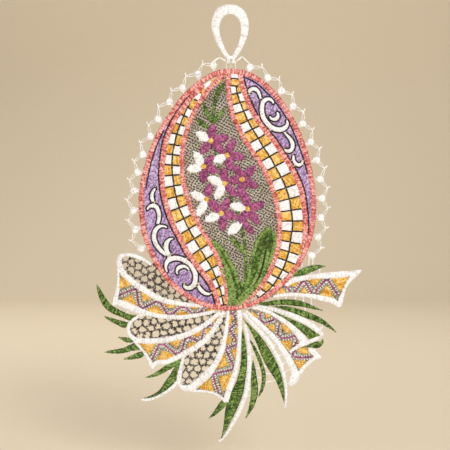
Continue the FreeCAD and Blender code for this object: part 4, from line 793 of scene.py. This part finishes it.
def twin_piece(node, slot):
    """Thin pairs of threads along the middle of narrow bars."""
    apart = 0.08          # from the middle to each thread
    half = half_thickness(node)
    chords = satin(front_loops(node), longest=0.6, pitch=0.4)
    middle = along_middle(chords, 0.95)
    strands = Strands()
    for shift in (-apart, apart):
        aside = asides(middle[:, 2:] - middle[:, :2]) * shift
        moved = middle + np.concatenate([aside, aside], axis=1)
        strands.lay(moved, tall=half * 0.9, low=half * 0.6, width=0.15, relief=0.07, form=LAID)
    piece(strands, node, slot)


EGG_MIDDLE = np.array([-0.7, -60.0])
PICOT_LEG = 2.4       # from a bead in to the egg's border
PICOT_LEG_APART = 0.35
PICOT_KNOT = 2.2      # from between two beads out to the knot
PICOT_TAIL_OUT, PICOT_TAIL_BACK = 1.05, 0.85
PICOT_BOWS = (-0.45, 0.38)        # of the two threads from a bead to the knot
CROWN_TIES = (((-6.1, -16.9), (-3.4, -15.2), (-1.2, -16.4)),
              ((7.1, -17.4), (4.4, -14.9), (2.4, -16.4)))


def picot_piece(node, slot, beads_node):
    """Threads between the beads: two bowed threads on each side of every outer knot, and its tail."""
    half = half_thickness(node)
    beads = [island[0].mean(axis=0) for island in islands(front_loops(beads_node))]
    strands = Strands()
    arcs = []
    for side in (-1, 1):
        column = [bead for bead in beads if (bead[0] - EGG_MIDDLE[0]) * side > 0]
        column.sort(key=lambda bead: -bead[1])
        for bead in column:
            inward = (EGG_MIDDLE - bead) / np.hypot(*(EGG_MIDDLE - bead))
            aside = turned(inward, math.pi / 2) * PICOT_LEG_APART
            for shift in (-aside, aside):
                arcs.append((*(bead + shift), *(bead + inward * PICOT_LEG + shift * 0.7)))
        for upper, lower in zip(column, column[1:]):
            along = (lower - upper) / np.hypot(*(lower - upper))
            out = turned(along, math.pi / 2 * side)
            knot = (upper + lower) / 2 + out * PICOT_KNOT
            tail = knot + out * PICOT_TAIL_OUT - along * PICOT_TAIL_BACK
            arcs += [(*knot, *tail), (*(knot + out * 0.15), *(tail + along * 0.2))]
            for bead in (upper, lower):
                aside = turned(knot - bead, math.pi / 2)
                aside = aside / np.hypot(*aside)
                for bow in PICOT_BOWS:
                    bends = [bead + (knot - bead) * t + aside * bow * math.sin(math.pi * t)
                             for t in (0.2, 0.4, 0.6, 0.8, 1.0)]
                    arcs += [(*a, *b) for a, b in zip(bends, bends[1:])]
    for tie in CROWN_TIES:
        for (ax, az), (bx, bz) in zip(tie, tie[1:]):
            arcs += [(ax, az, bx, bz), (ax, az + 0.25, bx, bz + 0.3)]
    strands.lay(np.array(arcs), tall=half, low=half * 0.75, width=0.25, relief=0.09, form=LAID)
    piece(strands, node, slot)


# ---------------------------------------------------------------- the loop's hinge

HINGE_X, HINGE_Z = 0.55, -16.5    # middle of the crown bar, which the loop's foot turns on
WRAP = 1.05           # width of each of the foot's two wrappings
WRAP_GAP = 0.6        # between the wrappings, where the bar's middle leg goes
WRAP_TURNS = 3        # threads in a wrapping
WRAP_RADIUS = 0.555   # from the hinge's axis to the middle of a wrapped thread
WRAP_THREAD = 0.175   # radius of a wrapped thread
FOOT_TOP = -15.1      # where the foot goes into the loop
FOOT_LOW, FOOT_LOW_AT_LEG = -15.95, -15.6
BAR_END = 0.42        # from a wrapping to the bar's end
BAR_RADIUS, LEG_RADIUS = 0.22, 0.17
LEG_INSET = 0.2       # from the bar's end to its outer leg
LEG_TOP, LEG_LOW = HINGE_Z - 0.05, -19.3


def twisted(strands, start, end, radius):
    """Two plies twisted round each other between two points."""
    step = 0.08
    twist = 5.5           # radians in a millimetre
    start, end = np.array(start, float), np.array(end, float)
    length = np.linalg.norm(end - start)
    course = (end - start) / length
    side = np.cross(course, (0.0, 1.0, 0.0))
    up = np.cross(side, course)
    for ply in (0.0, math.pi):
        route = []
        for k in range(int(length / step) + 1):
            turn = ply + k * step * twist
            swing = math.cos(turn) * side + math.sin(turn) * up
            route.append(start + course * (k * step) + radius * 0.5 * swing)
        strands.tube(route, radius * 0.5)


def loop_foot():
    """Two wrappings round the crown bar, and the threads up from them into the loop."""
    slip = 0.05           # sideways drift of a wrapped thread
    foot = Strands()
    for side in (-1, 1):
        for k in range(WRAP_TURNS):
            x = HINGE_X + side * (WRAP_GAP / 2 + WRAP * (k + 0.5) / WRAP_TURNS)
            ring = [(x + slip * math.cos(t), WRAP_RADIUS * math.sin(t), HINGE_Z + WRAP_RADIUS * math.cos(t))
                    for t in np.linspace(0, 2 * math.pi, 20, endpoint=False)]
            foot.tube(ring, WRAP_THREAD, closed=True)
    inset = 0.17
    count = 8
    left = HINGE_X - WRAP_GAP / 2 - WRAP
    uprights = []
    for k in range(count):
        x = left + inset + k * (2 * WRAP + WRAP_GAP - 2 * inset) / (count - 1)
        over_leg = abs(x - HINGE_X) < WRAP_GAP / 2 + 0.1
        uprights.append((x, FOOT_LOW_AT_LEG if over_leg else FOOT_LOW, x * 0.9, FOOT_TOP))
    foot.lay(np.array(uprights), tall=0.42, low=0.3, form=LAID)
    piece(foot, "loop_foot", "white_thread", "loop")


def crown_bar():
    """Twisted bar that the loop turns on, with three legs down to the egg."""
    bar = Strands()
    reach = WRAP + WRAP_GAP / 2 + BAR_END
    twisted(bar, (HINGE_X - reach, 0, HINGE_Z), (HINGE_X + reach, 0, HINGE_Z), BAR_RADIUS)
    for x in (HINGE_X - reach + LEG_INSET, HINGE_X, HINGE_X + reach - LEG_INSET):
        twisted(bar, (x, 0, LEG_TOP), (x, 0, LEG_LOW), LEG_RADIUS)
    piece(bar, "crown_bar", "white_thread")


# ---------------------------------------------------------------- the ornament, piece by piece

satin_piece("hang_loop", "white_thread", longest=4.2, body="loop")
loop_foot()
crown_bar()
satin_piece("outer_border", "coral_thread", longest=2.8, extra=0.08, rough=0.2)
for side in SIDES:
    satin_piece(side + "_band_outer_edge", "coral_thread", longest=2.6, extra=0.14, rough=0.36, teeth=0.12)
    satin_piece(side + "_band_inner_edge", "coral_thread", longest=2.4, extra=0.14, rough=0.36, teeth=0.12)
    block_piece(side + "_yellow_squares", "yellow_thread")
    block_piece(side + "_white_squares", "white_thread")
    line_piece(side + "_band_grid", "black_thread", width=0.46)
    satin_piece(side + "_scrolls", "white_thread", longest=2.3, extra=0.02, rough=0.05)
    line_piece(side + "_blackwork", "black_thread", stitch=0.7, width=0.54)
    fill_piece(side + "_lilac_panel", "lilac_thread", math.radians(62), stitch=2.2)
block_piece("stamens", "yellow_thread", pitch=0.3, dome=0.35)
satin_piece("magenta_petals", "magenta_thread", longest=3.4, extra=0.03, rough=0.1,
            slant=math.radians(12), teeth=0.1)
satin_piece("white_petals", "white_thread", longest=3.4, extra=0.0, rough=0.12,
            slant=math.radians(30), teeth=0.45)
satin_piece("flower_stems", "green_thread", longest=2.6)
satin_piece("top_leaves", "green_thread", longest=3.2)
fill_piece("bottom_leaves", "green_thread", math.radians(38), stitch=2.2, rim=1.3)
line_piece("leaf_veins", "black_thread")
# A run of a net is its angle, the spacing of its lines, its dash and its gap.
net_piece("net_ground", "net_thread", (math.radians(-26), math.radians(64)),
          ((math.radians(-26), 0.95, 0.85, 0.3), (math.radians(54), 0.95, 0.6, 0.5)))
for ribbon in RIBBONS:
    satin_piece(ribbon + "_ribbon_edge", "white_thread", longest=4.6, extra=0.08, rough=0.16)
    line_piece(ribbon + "_zigzag", "magenta_thread", stitch=1.0, width=0.46, every=0.5)
    block_piece(ribbon + "_triangles", "yellow_thread")
    net_piece(ribbon + "_net", "ribbon_net_thread", (math.radians(18), math.radians(104)),
              ((math.radians(30), 1.3, 0.5, 0.9),))
    whip_stitches(ribbon)
for oval in OVALS:
    lace_piece(oval + "_lace", "net_thread")
satin_piece("blade_edges", "white_thread", longest=3.6, rough=0.14)
for blades in ("left_blades", "right_blades", "edged_blades"):
    satin_piece(blades, "green_thread", longest=8.0, extra=0.06, rough=0.1, slant=math.radians(20))
block_piece("picot_beads", "white_thread", pitch=0.34, dome=0.45)
picot_piece("picot_threads", "white_thread", "picot_beads")
twin_piece("tie_bars", "white_thread")


# ---------------------------------------------------------------- stage, light and camera, in metres

FACE = Vector((-1.5, 0.0, -72.8)) * MM    # middle of the ornament, which the camera faces
VIEW_WIDTH = 0.15525  # what the camera takes in there, from side to side
FOCAL, SENSOR = 85.0, 36.0        # of the lens, in its own millimetres
FLOOR_Z = -0.160
FLOOR_FRONT = -1.5
WALL_Y = 1.2          # wall of the studio sweep, behind the ornament
WALL_TOP = 1.6
SWEEP_HALF = 2.0      # half the width of the sweep
SWEEP_BEND = 0.35     # radius of its bend
BEND_STEPS = 24


def sweep(name, material):
    """Studio floor that curves up into a wall well behind the ornament."""
    profile = [(FLOOR_FRONT, FLOOR_Z)]
    for step in range(BEND_STEPS + 1):
        turn = math.pi / 2 * step / BEND_STEPS
        profile.append((WALL_Y - SWEEP_BEND + SWEEP_BEND * math.sin(turn),
                        FLOOR_Z + SWEEP_BEND * (1 - math.cos(turn))))
    profile.append((WALL_Y, WALL_TOP))
    points = [(x, y, z) for y, z in profile for x in (-SWEEP_HALF, SWEEP_HALF)]
    faces = [(2 * k, 2 * k + 1, 2 * k + 3, 2 * k + 2) for k in range(len(profile) - 1)]
    mesh = bpy.data.meshes.new(name)
    mesh.from_pydata(points, [], faces)
    mesh.shade_smooth()
    thing = bpy.data.objects.new(name, mesh)
    thing.data.materials.append(material)
    bpy.context.scene.collection.objects.link(thing)


def paper(name, pale, deep):
    """Matt paper, nearly even in tone."""
    material, nodes, links, surface = blank_material(name, roughness=0.85)
    place = nodes.new("ShaderNodeTexCoord")
    ramp = colour_ramp(nodes, (0.0, deep), (1.0, pale))
    links.new(clouds(nodes, links, place, scale=400.0), ramp.inputs["Fac"])
    links.new(ramp.outputs["Color"], surface.inputs["Base Color"])
    return material


def studio_air(colour, strength):
    """Even light from all round."""
    world = bpy.data.worlds.new("studio")
    bpy.context.scene.world = world
    world.use_nodes = True
    background = world.node_tree.nodes["Background"]
    background.inputs["Color"].default_value = colour
    background.inputs["Strength"].default_value = strength


def softbox(name, spot, size, power, aim=FACE):
    """Round soft lamp at a place measured from the ornament's middle."""
    light = bpy.data.lights.new(name, "AREA")
    light.shape = "DISK"
    light.size = size
    light.energy = power
    thing = bpy.data.objects.new(name, light)
    thing.location = FACE + Vector(spot)
    thing.rotation_euler = (aim - thing.location).to_track_quat("-Z", "Y").to_euler()
    bpy.context.scene.collection.objects.link(thing)


def straight_camera():
    """Camera that looks straight at the ornament's face."""
    lens = bpy.data.cameras.new("camera")
    lens.lens = FOCAL
    lens.sensor_width = SENSOR
    lens.clip_start = 0.01
    camera = bpy.data.objects.new("camera", lens)
    camera.location = FACE + Vector((0.0, -VIEW_WIDTH * FOCAL / SENSOR, 0.0))
    camera.rotation_euler = (math.radians(90), 0.0, 0.0)
    bpy.context.scene.collection.objects.link(camera)
    bpy.context.scene.camera = camera


sweep("floor", paper("floor_paper", pale=srgb(226, 210, 184), deep=srgb(220, 204, 177)))
studio_air((1.0, 0.97, 0.93, 1), strength=0.30)
softbox("key", (0.30, -0.70, 0.32), size=0.30, power=4.3)
softbox("fill", (-0.5, -0.8, 0.05), size=0.6, power=1.5)
softbox("back_key", (-0.35, 0.60, 0.70), size=0.4, power=2.8)
softbox("wall_wash", (0.0, 0.25, 0.95), size=0.6, power=4.8, aim=Vector((0.0, WALL_Y, 0.0)))
straight_camera()
bpy.context.scene.view_settings.view_transform = "Standard"
